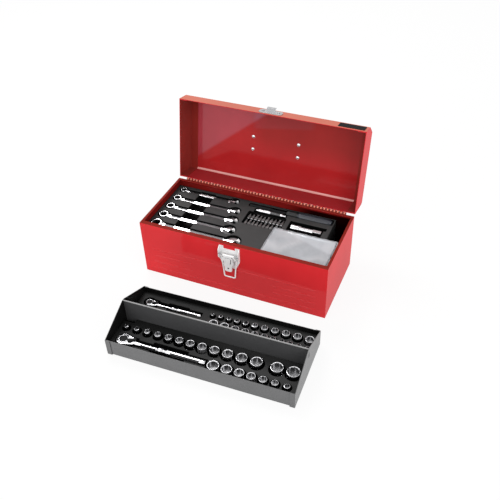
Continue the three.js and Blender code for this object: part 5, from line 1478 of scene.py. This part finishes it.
def turn_extension():
    """Extension bar: knurled female end, waist and a square with its ball."""
    ribs = []
    for index in range(5):
        at = 12.6 + index * 1.6
        ribs += [(7.5, at), (7.15, at + 0.35), (7.15, at + 0.75), (7.5, at + 1.1)]
    profile = [(5.1, 0.0), (6.9, 0.0), (7.3, 0.35), (7.5, 0.9)] + ribs + [
        (7.4, 21.4), (6.9, 22.4), (6.2, 23.7), (5.83, 24.6), (5.83, 52.0), (5.5, 52.8), (0, 53.0)]
    bar = turned([(0, 10.6), (4.6, 10.6), (4.6, 0.5)] + profile, 40)
    square = eased(block(-4.7, 4.7, -4.7, 4.7, 51.5, 72.0), 0.8, 3)
    detent = moved(ball(1.9, 15, 20), shifted(4.0, 0, 65.5))
    walls = carved(block(-4.62, 4.62, -4.62, 4.62, 1.0, 10.5),
                   [block(-4.4, 4.4, -4.4, 4.4, 0.0, 10.0)])
    # The square bore's walls take the dark steel: painted shade.
    painted(walls, 1)
    bar = outwards(moved(gathered([bar, square, detent, walls]), EXTENSION))
    piece("extension_bar_turned", bar, [chrome(), bore_steel()], "extension", IN_BOX,
          ("extension_bar",))


def fill_bag():
    """The bag of small parts: two films sealed at the rim, filled by cloth simulation."""
    look = bpy.context.scene.toolbox_film
    x0, x1, y0, y1, low = 64.0, 211.0, -74.0, 12.5, 125.4
    across, up = 48, 26
    bm = bmesh.new()
    for height in (0.0, 1.2):
        bmesh.ops.create_grid(bm, x_segments=across, y_segments=up, size=0.5,
                              matrix=shifted(0, 0, height))
    bmesh.ops.scale(bm, vec=(x1 - x0, y1 - y0, 1), verts=bm.verts)
    bmesh.ops.translate(bm, vec=((x0 + x1) / 2, (y0 + y1) / 2, low), verts=bm.verts)
    rims = [e for e in bm.edges if e.is_boundary]
    bmesh.ops.bridge_loops(bm, edges=rims)
    for vert in bm.verts:
        wave = noise.noise(Vector((vert.co.x * 0.05, vert.co.y * 0.05, 3.0)))
        edge = min(vert.co.x - x0, x1 - vert.co.x, vert.co.y - y0, y1 - vert.co.y)
        if edge > 1 and vert.co.z > low + 0.6:
            vert.co.z += 1.4 + 1.2 * wave
    outwards(bm)
    bm.transform(MILLIMETRE)
    bag = stood("parts_bag_film", mesh_of(bm, "parts_bag_film"))
    bed = bmesh.new()
    bmesh.ops.create_grid(bed, x_segments=1, y_segments=1, size=0.3,
                          matrix=shifted(0.13, -0.03, (low - 0.9) * 0.001))
    rest = stood("bag_rest", mesh_of(bed, "bag_rest"))
    rest.modifiers.new("stop", "COLLISION")
    rest.collision.thickness_outer = 0.0005
    cloth = bag.modifiers.new("cloth", "CLOTH")
    for name, value in (("quality", 8), ("mass", 0.15), ("tension_stiffness", 30),
                        ("compression_stiffness", 30), ("bending_stiffness", 0.6),
                        ("use_pressure", True), ("uniform_pressure_force", 3.2)):
        setattr(cloth.settings, name, value)
    cloth.settings.effector_weights.gravity = 0.15
    cloth.collision_settings.distance_min = 0.0006
    for number in range(1, look.frames + 1):
        bpy.context.scene.frame_set(number)
    settled = final_mesh(bag)
    bag.modifiers.clear()
    limit = 0.009
    for before, after in zip(bag.data.vertices, settled.vertices):
        move = after.co - before.co
        if move.length > limit:
            after.co = before.co + move.normalized() * limit
        after.co.z = max(after.co.z, (low - 0.2) * 0.001)
    bag.data = settled
    bpy.context.scene.frame_set(1)
    bpy.data.objects.remove(rest)
    bm = moved(bmesh_of(bag.data), METRE)
    middle = Vector(((x0 + x1) / 2, (y0 + y1) / 2, 0))
    bmesh.ops.subdivide_edges(bm, edges=bm.edges, cuts=1, use_grid_fill=True, smooth=0.6)
    for vert in bm.verts:
        edge = min(vert.co.x - x0, x1 - vert.co.x, vert.co.y - y0, y1 - vert.co.y)
        top = max(0.0, min(1.0, (vert.co.z - low - 0.5) / 2.5))
        fold = noise.turbulence(Vector((vert.co.x * 0.022, vert.co.y * 0.045, 1.7)), 3, False)
        vert.co.z += top * look.slack * 1000 * (fold - 0.5)
    outline = oblong(x0 - 3.2, x1 + 3.2, y0 - 3.2, y1 + 3.2, 4)
    fin = bmesh.new()
    dense = []
    for index, point in enumerate(outline):
        a, b = Vector(point), Vector(outline[(index + 1) % len(outline)])
        steps = max(1, int((b - a).length / 3))
        dense += [a.lerp(b, i / steps) for i in range(steps)]
    outer = [fin.verts.new((p.x, p.y, low + 1.4 + 1.3 * noise.noise(Vector((p.x * 0.09, p.y * 0.09,
                                                                            5.0))))) for p in dense]
    rim = [fin.edges.new((outer[i], outer[(i + 1) % len(outer)])) for i in range(len(outer))]
    inner = bmesh.ops.extrude_edge_only(fin, edges=rim)["geom"]
    for vert in (g for g in inner if isinstance(g, bmesh.types.BMVert)):
        to_middle = middle - Vector((vert.co.x, vert.co.y, 0))
        vert.co.x += 5.5 * (1 if to_middle.x > 0 else -1) * min(1, abs(to_middle.x) / 60)
        vert.co.y += 5.5 * (1 if to_middle.y > 0 else -1) * min(1, abs(to_middle.y) / 30)
        vert.co.z = low + 1.0
    bmesh.ops.solidify(fin, geom=fin.faces[:], thickness=0.35)
    film = gathered([bm, fin])
    smoothed(moved(film, MILLIMETRE))
    old = bag.data
    bag.data = mesh_of(film, "parts_bag_film")
    bpy.data.meshes.remove(old)
    bag.data.materials.append(bag_film())
    finer = bag.modifiers.new("finer", "SUBSURF")
    finer.levels = finer.render_levels = 1
    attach(bag, "box")
    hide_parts("parts_bag")


# ------------------------------------------------------------------ tray
def fold_tray():
    """Tray of folded sheet: trough, two gabled ends and the hemmed divider."""
    back = IN_TRAY.inverted()
    turn = back.to_3x3()

    # Faces inside the tray below the hem take the near-black inside finish: painted shade.
    def inside(bm):
        for face in bm.faces:
            middle, way = back @ middle_of(face), turn @ face.normal
            within = (2.2 < middle.y < TRAY_WIDTH - 2.2 and 0.9 < middle.x < TRAY_LENGTH - 0.9
                      and middle.z > 1.2)
            below_hem = middle.z < 77 or abs(way.x) > 0.9
            face.material_index = 1 if within and below_hem else 0

    edge = min(0.3, making("sheet_edge"))
    for name in ("tray_wrap", "tray_end_left", "tray_end_right"):
        pressed(name, [tray_paint(), tray_inside_shade()], edge, paint=inside)

    def hem(bm):
        top = max(vert.co.z for vert in bm.verts)
        # The top of the hem takes the lighter grey: painted highlight.
        painted(bm, 1, lambda f: middle_of(f).z > top - 1.3)

    pressed("tray_divider", [divider_shaded_paint(), hem_painted_highlight()], edge, paint=hem)


def mould_tray_inserts():
    """Two decks in the tray, with a round hole for each socket and a pocket for each ratchet."""
    flare = making("mould_edge") * 0.7
    halves = {"front": (2.6, 86.7, "ab", "large"), "back": (88.3, 172.4, "cd", "small")}
    for side, (y0, y1, rows, kind) in halves.items():
        length, head, start, line, square, cut_long = RATCHETS[kind]
        blank = eased(block(1.6, 412.4, y0, y1, TRAY_FLOOR, TRAY_DECK), 0.8, 3)
        head_x, gap = start + head, 3.0
        pawl, grip = head * 0.72, head * 0.42
        collar = length * 0.42

        def pocket(x0, x1, half):
            return flared(oblong(x0, x1, line - half, line + half, 2.0), RATCHET_FLOOR, TRAY_DECK,
                          flare)

        cutters = [block(3.6, 410.4, y0 + 2, y1 - 2, TRAY_FLOOR - 1, 13.0),
                   flared(circle_outline(head_x, line, head + gap), RATCHET_FLOOR, TRAY_DECK,
                          flare),
                   flared(circle_outline(head_x, line, square, 24), 11.0, RATCHET_FLOOR + 0.5, 0.3),
                   pocket(head_x, head_x + head * 1.15 + pawl + gap, pawl + gap),
                   pocket(head_x, head_x + length - head + gap, grip + gap),
                   pocket(head_x + collar - cut_long / 4, head_x + collar + cut_long * 0.75, head)]
        for row in rows:
            clearance = SOCKET_ROWS[row][8]
            for x, y, radius, _ in socket_line(row):
                cutters.append(flared(circle_outline(x, y, radius + clearance), 11.5, TRAY_DECK,
                                      flare))
        if side == "front":
            cutters.append(flared(oblong(-3, 27, y1 - 12, y1 + 4, 1.5), RATCHET_FLOOR, TRAY_DECK,
                                  0.5))
        else:
            cutters.append(block(0, 414, 87.5, 93.3, 0, 3.9))
        # Faces inside the pockets take the near-black pocket finish: painted shade.
        deck = painted(carved(blank, cutters), 1, below_deck(TRAY_DECK))
        piece(f"tray_insert_{side}_moulded", deck, [tray_insert_plastic(), pocket_shade_plastic()],
              "tray", IN_TRAY, (f"tray_insert_{side}",), sharp=45.0)


def socket(radius, top, sides):
    """One socket: waisted outside, chamfered rim and a twelve-point bore."""
    low, rim = TRAY_FLOOR + 0.6, min(making("rim"), radius * 0.12)
    waist = low + (top - low) * 0.42
    nip = radius * 0.05
    profile = [(0, low), (radius - 0.6, low), (radius - 0.15, low + 0.2), (radius, low + 0.7),
               (radius, waist - 1.2), (radius - nip, waist - 0.6), (radius - nip, waist + 0.6),
               (radius, waist + 1.2), (radius, top - rim), (radius - rim * 0.3, top - rim * 0.3),
               (radius - rim, top)]
    bore = radius * 0.77
    profile.append((min(radius - rim - 0.1, bore * 1.1547 + 0.3), top))
    deep = min(top - low - 1.5, bore * 1.2)
    shell = bored(profile, bore, top, top - deep, sides, chamfer=min(0.8, radius * 0.07))
    # The bore walls are painted dark steel as painted shade, and the floors too on the small
    # sockets; one group of facets in four is turned back to chrome.
    painted(shell, 2 if radius > 6.5 else 1,
            lambda f: abs(middle_of(f).z - top + deep) < 0.1)

    def bright_flat(face):
        middle = middle_of(face)
        turn = math.degrees(math.atan2(middle.y, middle.x)) % 360
        return (abs(face.normal.z) < 0.3 and top - deep < middle.z < top - 0.3
                and middle.xy.length < bore * 1.16 and int(turn // 15) % 4 == 1)

    return painted(shell, 0, bright_flat)


def turn_sockets():
    """Four rows of sockets, each row on its thin strip under the deck."""
    for row in SOCKET_ROWS:
        line = socket_line(row)
        parts = [eased(block(line[0][0], line[-1][0], line[0][1] - 3, line[0][1] + 3, TRAY_FLOOR,
                             TRAY_FLOOR + 1.2), 0.2)]
        sides = bpy.context.scene.toolbox_making.sides
        for index, (x, y, radius, top) in enumerate(line):
            turn = turned_by(7.0 * ((index * 5) % 4))
            parts.append(moved(socket(radius, top, sides), shifted(x, y, 0) @ turn))
        piece(f"sockets_row_{row}_turned", gathered(parts),
              [chrome(), bore_steel(), bore_floor_steel()], "tray", IN_TRAY,
              (f"sockets_row_{row}",))


def forge_ratchets():
    """Two ratchets: forged head and handle, turning dial with its square, reversing lever."""
    for name, (length, head, start, line, square, _) in RATCHETS.items():
        thick = head * 0.95
        half = thick / 2
        pawl_x, pawl, neck = head * 1.15, head * 0.72, head * 0.3
        collar_x, grip_x, grip = length * 0.42, length * 0.5, head * 0.42
        end, drive, lever = length - head, head * 0.6, head * 0.48
        place = IN_TRAY @ shifted(start + head, line, RATCHET_FLOOR + 0.3 + half)
        outline = arc(0, 0, head, 58, 302, 40) + arc(pawl_x, 0, pawl, -52, 52, 16)
        soft = min(making("forge_edge") * 1.3, half * 0.5)
        shell = eased(slab(outline, -half, half), soft, 4, 50)
        cover = turned([(drive + 0.5, half - 0.2), (drive + 0.5, half + 1.1),
                        (drive + 0.9, half + 1.2), (head * 0.94, half - 0.2),
                        (drive + 0.5, half - 0.2)], 48)
        holes = [turned([(0, -half - 1), (drive + 0.3, -half - 1), (drive + 0.3, half + 1),
                         (0, half + 1)], 40),
                 moved(turned([(0, 0), (lever + 0.3, 0), (lever + 0.3, half + 1), (0, half + 1)],
                              28), shifted(pawl_x, 0, half * 0.5))]
        shell = carved(shell, holes)
        collar = neck * 1.5
        profile = [(0, pawl_x * 0.5), (neck, pawl_x * 0.5), (neck * 1.35, pawl_x + pawl * 0.8),
                   (neck * 1.2, pawl_x + pawl * 1.25), (neck, pawl_x + pawl * 2.2),
                   (neck * 0.96, collar_x - collar * 1.3), (neck * 1.1, collar_x - collar * 0.8),
                   (collar * 0.94, collar_x - collar * 0.5), (collar, collar_x - collar * 0.25),
                   (collar, collar_x + collar * 0.25), (collar * 0.94, collar_x + collar * 0.5),
                   (neck * 1.05, collar_x + collar * 0.9), (neck * 1.0, collar_x + collar * 1.4)]
        if name == "large":
            profile += [(grip * 0.8, grip_x - 5), (grip * 0.97, grip_x), (grip, grip_x + 6)]
        else:
            profile += [(grip * 0.85, grip_x - 2)]
            ribs, first, last = 14, grip_x + 1, end - 9
            for index in range(ribs):
                at = first + (last - first) * index / (ribs - 1)
                profile += [(grip, at - 1.0), (grip * 0.86, at - 0.4), (grip * 0.86, at + 0.4),
                            (grip, at + 1.0)]
        profile += [(grip, end - grip * 1.1), (grip * 1.04, end - grip * 0.9),
                    (grip * 1.04, end - grip * 0.45), (grip * 0.85, end - grip * 0.12),
                    (grip * 0.55, end), (0, end)]
        shaft = turned(profile, 36)
        for vert in shaft.verts:
            if vert.co.z < pawl_x + pawl * 1.2:
                vert.co.x = max(-half * 0.8, min(half * 0.8, vert.co.x))
        body = painted(gathered([shell, cover, moved(shaft, ALONG_X)]), 0)
        # Dark strips along the handle and the neck: painted dark reflections on the chrome.
        dark_reflection_strips = []
        for turn in (36, 92, 216, 272):
            for first, last, level in ((grip_x + 9, end - grip * 2, grip),
                                       (pawl_x + pawl * 2.2, collar_x - collar * 1.3, neck)):
                slot = level * 0.26
                strip = slab(oblong(first, last, -slot, slot, slot * 0.9), level * 0.85,
                             level * 1.03)
                dark_reflection_strips.append(painted(moved(strip, turned_by(turn, "X")), 1))
        body = gathered([body] + dark_reflection_strips)
        piece(f"ratchet_{name}_body_forged", body, [chrome(), black_plastic()], f"ratchet_{name}",
              place, (f"ratchet_{name}_body",))
        dial = turned([(0, -half), (drive, -half), (drive, half), (drive * 0.94, half + 0.3),
                       (drive * 0.72, half + 0.3), (drive * 0.66, half - 0.25),
                       (0, half - 0.25)], 48)
        for index in range(DIAL_RIBS):
            rib = eased(block(drive * 0.76, drive * 0.93, -0.22, 0.22, half + 0.1, half + 0.42),
                        0.08)
            dial = gathered([dial, moved(rib, turned_by(360 * index / DIAL_RIBS))])
        boss = turned([(0, half - 0.3), (drive * 0.2, half - 0.3), (drive * 0.2, half + 0.1),
                       (drive * 0.12, half + 0.3), (0, half + 0.3)], 24)
        peg = eased(block(-square / 2, square / 2, -square / 2, square / 2, -half - square * 0.9,
                          -half + 1), square * 0.08, 3)
        painted(peg, 1)
        detent = moved(ball(1.5, 20, 16), shifted(square / 2 - 0.6, 0, -half - square * 0.5))
        piece(f"ratchet_{name}_drive_turned", gathered([dial, boss, peg, painted(detent, 1)]),
              [dial_black(), chrome()], f"ratchet_{name}_drive",
              place, (f"ratchet_{name}_drive",))
        flat = rounded([(-lever, -lever * 0.5), (pawl * 1.1, -lever * 0.34),
                        (pawl * 1.1, lever * 0.34), (-lever, lever * 0.5)], lever * 0.3, 4)
        arm = eased(slab(flat, half + 0.3, half + 0.3 + lever * 0.5), lever * 0.12, 3, 50)
        hub = turned([(0, half * 0.5 + 0.3), (lever, half * 0.5 + 0.3), (lever, half + 0.4),
                      (lever * 0.9, half + 0.6), (0, half + 0.6)], 28)
        turn = shifted(pawl_x, 0, 0) @ turned_by(30)
        piece(f"ratchet_{name}_lever_moulded", gathered([arm, hub]), [dial_black()],
              f"ratchet_{name}_lever", place @ turn, (f"ratchet_{name}_lever",))


# ------------------------------------------------------------------ stage
WHITE = (1.0, 1.0, 1.0, 1.0)


def seen_directly(tree):
    """1 where the camera, glass or metal sees a surface directly, 0 in other light."""
    paths = node(tree, "LightPath", (-800, 300)).outputs
    seen = maths(tree, "MAXIMUM", (-500, 300), paths["Is Camera Ray"], paths["Is Glossy Ray"])
    return maths(tree, "MAXIMUM", (-300, 300), seen, paths["Is Transmission Ray"])


def mixed_shaders(tree, share_of_second, first, second, last):
    """Two shaders mixed into the last node's surface."""
    mix = node(tree, "MixShader", (300, 0), {0: share_of_second, 1: first, 2: second})
    feed(tree, tree.nodes[last].inputs["Surface"], mix)


def pale_material(name, tone, kept):
    """White where it is seen directly, with kept of its own shading."""
    look = bpy.data.materials.new(name)
    look.use_nodes = True
    tree = look.node_tree
    shader = tree.nodes["Principled BSDF"]
    for label, value in (("Base Color", (*tone, 1.0)), ("Roughness", 0.9),
                         ("Specular IOR Level", 0.0)):
        feed(tree, shader.inputs[label], value)
    glow = node(tree, "Emission", (0, -300), {"Color": WHITE, "Strength": 1.0})
    part = maths(tree, "MULTIPLY", (-100, 300), seen_directly(tree), 1.0 - kept)
    mixed_shaders(tree, part, shader, glow, "Material Output")
    return look


def lay_floor(tone):
    bm = bmesh.new()
    bmesh.ops.create_grid(bm, x_segments=1, y_segments=1, size=6.0)
    floor = stood("studio_floor", mesh_of(bm, "studio_floor"))
    floor.data.materials.append(pale_material("studio white", tone, 0.1))


def light_evenly(scene, strength):
    """A world that lights the object evenly and looks white."""
    scene.world = bpy.data.worlds.new("studio")
    scene.world.use_nodes = True
    tree = scene.world.node_tree
    even = tree.nodes["Background"]
    feed(tree, even.inputs["Color"], WHITE)
    feed(tree, even.inputs["Strength"], strength)
    white = node(tree, "Background", (0, -200), {"Color": WHITE, "Strength": 1.0})
    mixed_shaders(tree, seen_directly(tree), even, white, "World Output")


def hang_lamps(look):
    centre = Vector((0.0, -0.09, 0.1))
    lamps = (("key lamp", look.key, 1.0, Vector((-1.1, 0.9, 2.3))),
             ("fill lamp", look.fill, 1.6, Vector((2.1, -1.5, 1.3))),
             ("front lamp", look.front, 1.6, Vector((-0.9, -2.2, 1.2))))
    for name, power, size, at in lamps:
        lamp = bpy.data.lights.new(name, "AREA")
        lamp.energy, lamp.size = power, size
        holder = stood(name, lamp)
        holder.location = at
        holder.rotation_euler = (centre - at).to_track_quat("-Z", "Y").to_euler()


def aim_camera(scene):
    camera = bpy.data.cameras.new("camera")
    camera.lens, camera.sensor_width = 46.82, 36.0
    camera.clip_start, camera.clip_end = 0.05, 40.0
    turn, tilt, roll = math.radians(24.02), math.radians(39.9), -0.0323
    back = Vector((math.sin(turn) * math.cos(tilt), -math.cos(turn) * math.cos(tilt),
                   math.sin(tilt)))
    right = (-back).cross(Vector((0, 0, 1))).normalized()
    up = right.cross(-back)
    level = math.cos(roll) * right + math.sin(roll) * up
    upright = math.cos(roll) * up - math.sin(roll) * right
    holder = stood("camera", camera)
    rows = [(level[i], upright[i], back[i]) for i in range(3)]
    holder.matrix_world = shifted(0.4865, -1.0792, 1.0418) @ Matrix(rows).to_4x4()
    scene.camera = holder


def set_stage():
    """Pale floor, even studio light and the camera."""
    scene = bpy.context.scene
    look = scene.toolbox_stage
    lay_floor(look.floor)
    light_evenly(scene, look.ambient)
    hang_lamps(look)
    aim_camera(scene)
    scene.view_settings.view_transform = "Standard"


# ------------------------------------------------------------------ operators
class MakingStep:
    """What every step of the build shares."""
    bl_options = {"REGISTER", "UNDO"}
    work = None

    def execute(self, context):
        type(self).work()
        return {"FINISHED"}


class TOOLBOX_OT_press_shell(MakingStep, bpy.types.Operator):
    """Press the box body and its lid"""
    bl_idname, bl_label = "toolbox.press_shell", "Body and lid"
    work = staticmethod(press_shell)


class TOOLBOX_OT_curl_hinge(MakingStep, bpy.types.Operator):
    """Curl the piano hinge"""
    bl_idname, bl_label = "toolbox.curl_hinge", "Hinge"
    work = staticmethod(curl_hinge)


class TOOLBOX_OT_fit_handle(MakingStep, bpy.types.Operator):
    """Fit the carry handle to the lid"""
    bl_idname, bl_label = "toolbox.fit_handle", "Carry handle"
    work = staticmethod(fit_handle)


class TOOLBOX_OT_fit_catch(MakingStep, bpy.types.Operator):
    """Fit the catch and the bare label plate"""
    bl_idname, bl_label = "toolbox.fit_catch", "Catch and label"
    work = staticmethod(fit_catch)


class TOOLBOX_OT_fit_latch(MakingStep, bpy.types.Operator):
    """Fit the draw latch"""
    bl_idname, bl_label = "toolbox.fit_latch", "Latch"
    work = staticmethod(fit_latch)


class TOOLBOX_OT_mould_base_insert(MakingStep, bpy.types.Operator):
    """Mould the insert in the box"""
    bl_idname, bl_label = "toolbox.mould_base_insert", "Box insert"
    work = staticmethod(mould_base_insert)


class TOOLBOX_OT_forge_spanners(MakingStep, bpy.types.Operator):
    """Forge the five spanners"""
    bl_idname, bl_label = "toolbox.forge_spanners", "Spanners"
    work = staticmethod(forge_spanners)


class TOOLBOX_OT_assemble_driver(MakingStep, bpy.types.Operator):
    """Assemble the bit driver"""
    bl_idname, bl_label = "toolbox.assemble_driver", "Bit driver"
    work = staticmethod(assemble_driver)


class TOOLBOX_OT_turn_bit_holder(MakingStep, bpy.types.Operator):
    """Turn the magnetic bit holder"""
    bl_idname, bl_label = "toolbox.turn_bit_holder", "Bit holder"
    work = staticmethod(turn_bit_holder)


class TOOLBOX_OT_cut_bits(MakingStep, bpy.types.Operator):
    """Cut the bits and put them in their clips"""
    bl_idname, bl_label = "toolbox.cut_bits", "Bits"
    work = staticmethod(cut_bits)


class TOOLBOX_OT_turn_extension(MakingStep, bpy.types.Operator):
    """Turn the extension bar"""
    bl_idname, bl_label = "toolbox.turn_extension", "Extension bar"
    work = staticmethod(turn_extension)


class TOOLBOX_OT_fill_bag(MakingStep, bpy.types.Operator):
    """Seal and fill the bag of small parts"""
    bl_idname, bl_label = "toolbox.fill_bag", "Parts bag"
    work = staticmethod(fill_bag)


class TOOLBOX_OT_fold_tray(MakingStep, bpy.types.Operator):
    """Fold the tray"""
    bl_idname, bl_label = "toolbox.fold_tray", "Tray"
    work = staticmethod(fold_tray)


class TOOLBOX_OT_mould_tray_inserts(MakingStep, bpy.types.Operator):
    """Mould the two inserts in the tray"""
    bl_idname, bl_label = "toolbox.mould_tray_inserts", "Tray inserts"
    work = staticmethod(mould_tray_inserts)


class TOOLBOX_OT_turn_sockets(MakingStep, bpy.types.Operator):
    """Turn the four rows of sockets"""
    bl_idname, bl_label = "toolbox.turn_sockets", "Sockets"
    work = staticmethod(turn_sockets)


class TOOLBOX_OT_forge_ratchets(MakingStep, bpy.types.Operator):
    """Forge the two ratchets"""
    bl_idname, bl_label = "toolbox.forge_ratchets", "Ratchets"
    work = staticmethod(forge_ratchets)


class TOOLBOX_OT_set_stage(MakingStep, bpy.types.Operator):
    """Set the floor, the lamps and the camera"""
    bl_idname, bl_label = "toolbox.set_stage", "Stage"
    work = staticmethod(set_stage)


STEPS = (
    TOOLBOX_OT_set_stage, TOOLBOX_OT_press_shell, TOOLBOX_OT_curl_hinge, TOOLBOX_OT_fit_handle,
    TOOLBOX_OT_fit_catch, TOOLBOX_OT_fit_latch, TOOLBOX_OT_mould_base_insert,
    TOOLBOX_OT_forge_spanners, TOOLBOX_OT_assemble_driver, TOOLBOX_OT_turn_bit_holder,
    TOOLBOX_OT_cut_bits, TOOLBOX_OT_turn_extension, TOOLBOX_OT_fill_bag, TOOLBOX_OT_fold_tray,
    TOOLBOX_OT_mould_tray_inserts, TOOLBOX_OT_turn_sockets, TOOLBOX_OT_forge_ratchets,
)


class TOOLBOX_PT_making(bpy.types.Panel):
    """Steps and settings of the toolbox"""
    bl_idname, bl_label = "TOOLBOX_PT_making", "Toolbox with Tray"
    bl_space_type, bl_region_type, bl_category = "VIEW_3D", "UI", "Toolbox"

    def draw(self, context):
        column = self.layout.column(align=True)
        for step in STEPS:
            column.operator(step.bl_idname)
        for name in SETTINGS:
            box = self.layout.box()
            box.label(text=name.replace("_", " ").capitalize())
            group = getattr(context.scene, name)
            for prop in group.bl_rna.properties:
                if not prop.is_readonly and prop.identifier != "name":
                    box.prop(group, prop.identifier)


def register():
    for group in SETTINGS.values():
        bpy.utils.register_class(group)
    for step in STEPS:
        bpy.utils.register_class(step)
    bpy.utils.register_class(TOOLBOX_PT_making)
    for name, group in SETTINGS.items():
        setattr(bpy.types.Scene, name, PointerProperty(type=group))


def unregister():
    for name in SETTINGS:
        delattr(bpy.types.Scene, name)
    bpy.utils.unregister_class(TOOLBOX_PT_making)
    for step in reversed(STEPS):
        bpy.utils.unregister_class(step)
    for group in SETTINGS.values():
        bpy.utils.unregister_class(group)


def main():
    register()
    for step in STEPS:
        family, name = step.bl_idname.split(".")
        getattr(getattr(bpy.ops, family), name)()


if __name__ == "__main__":
    main()
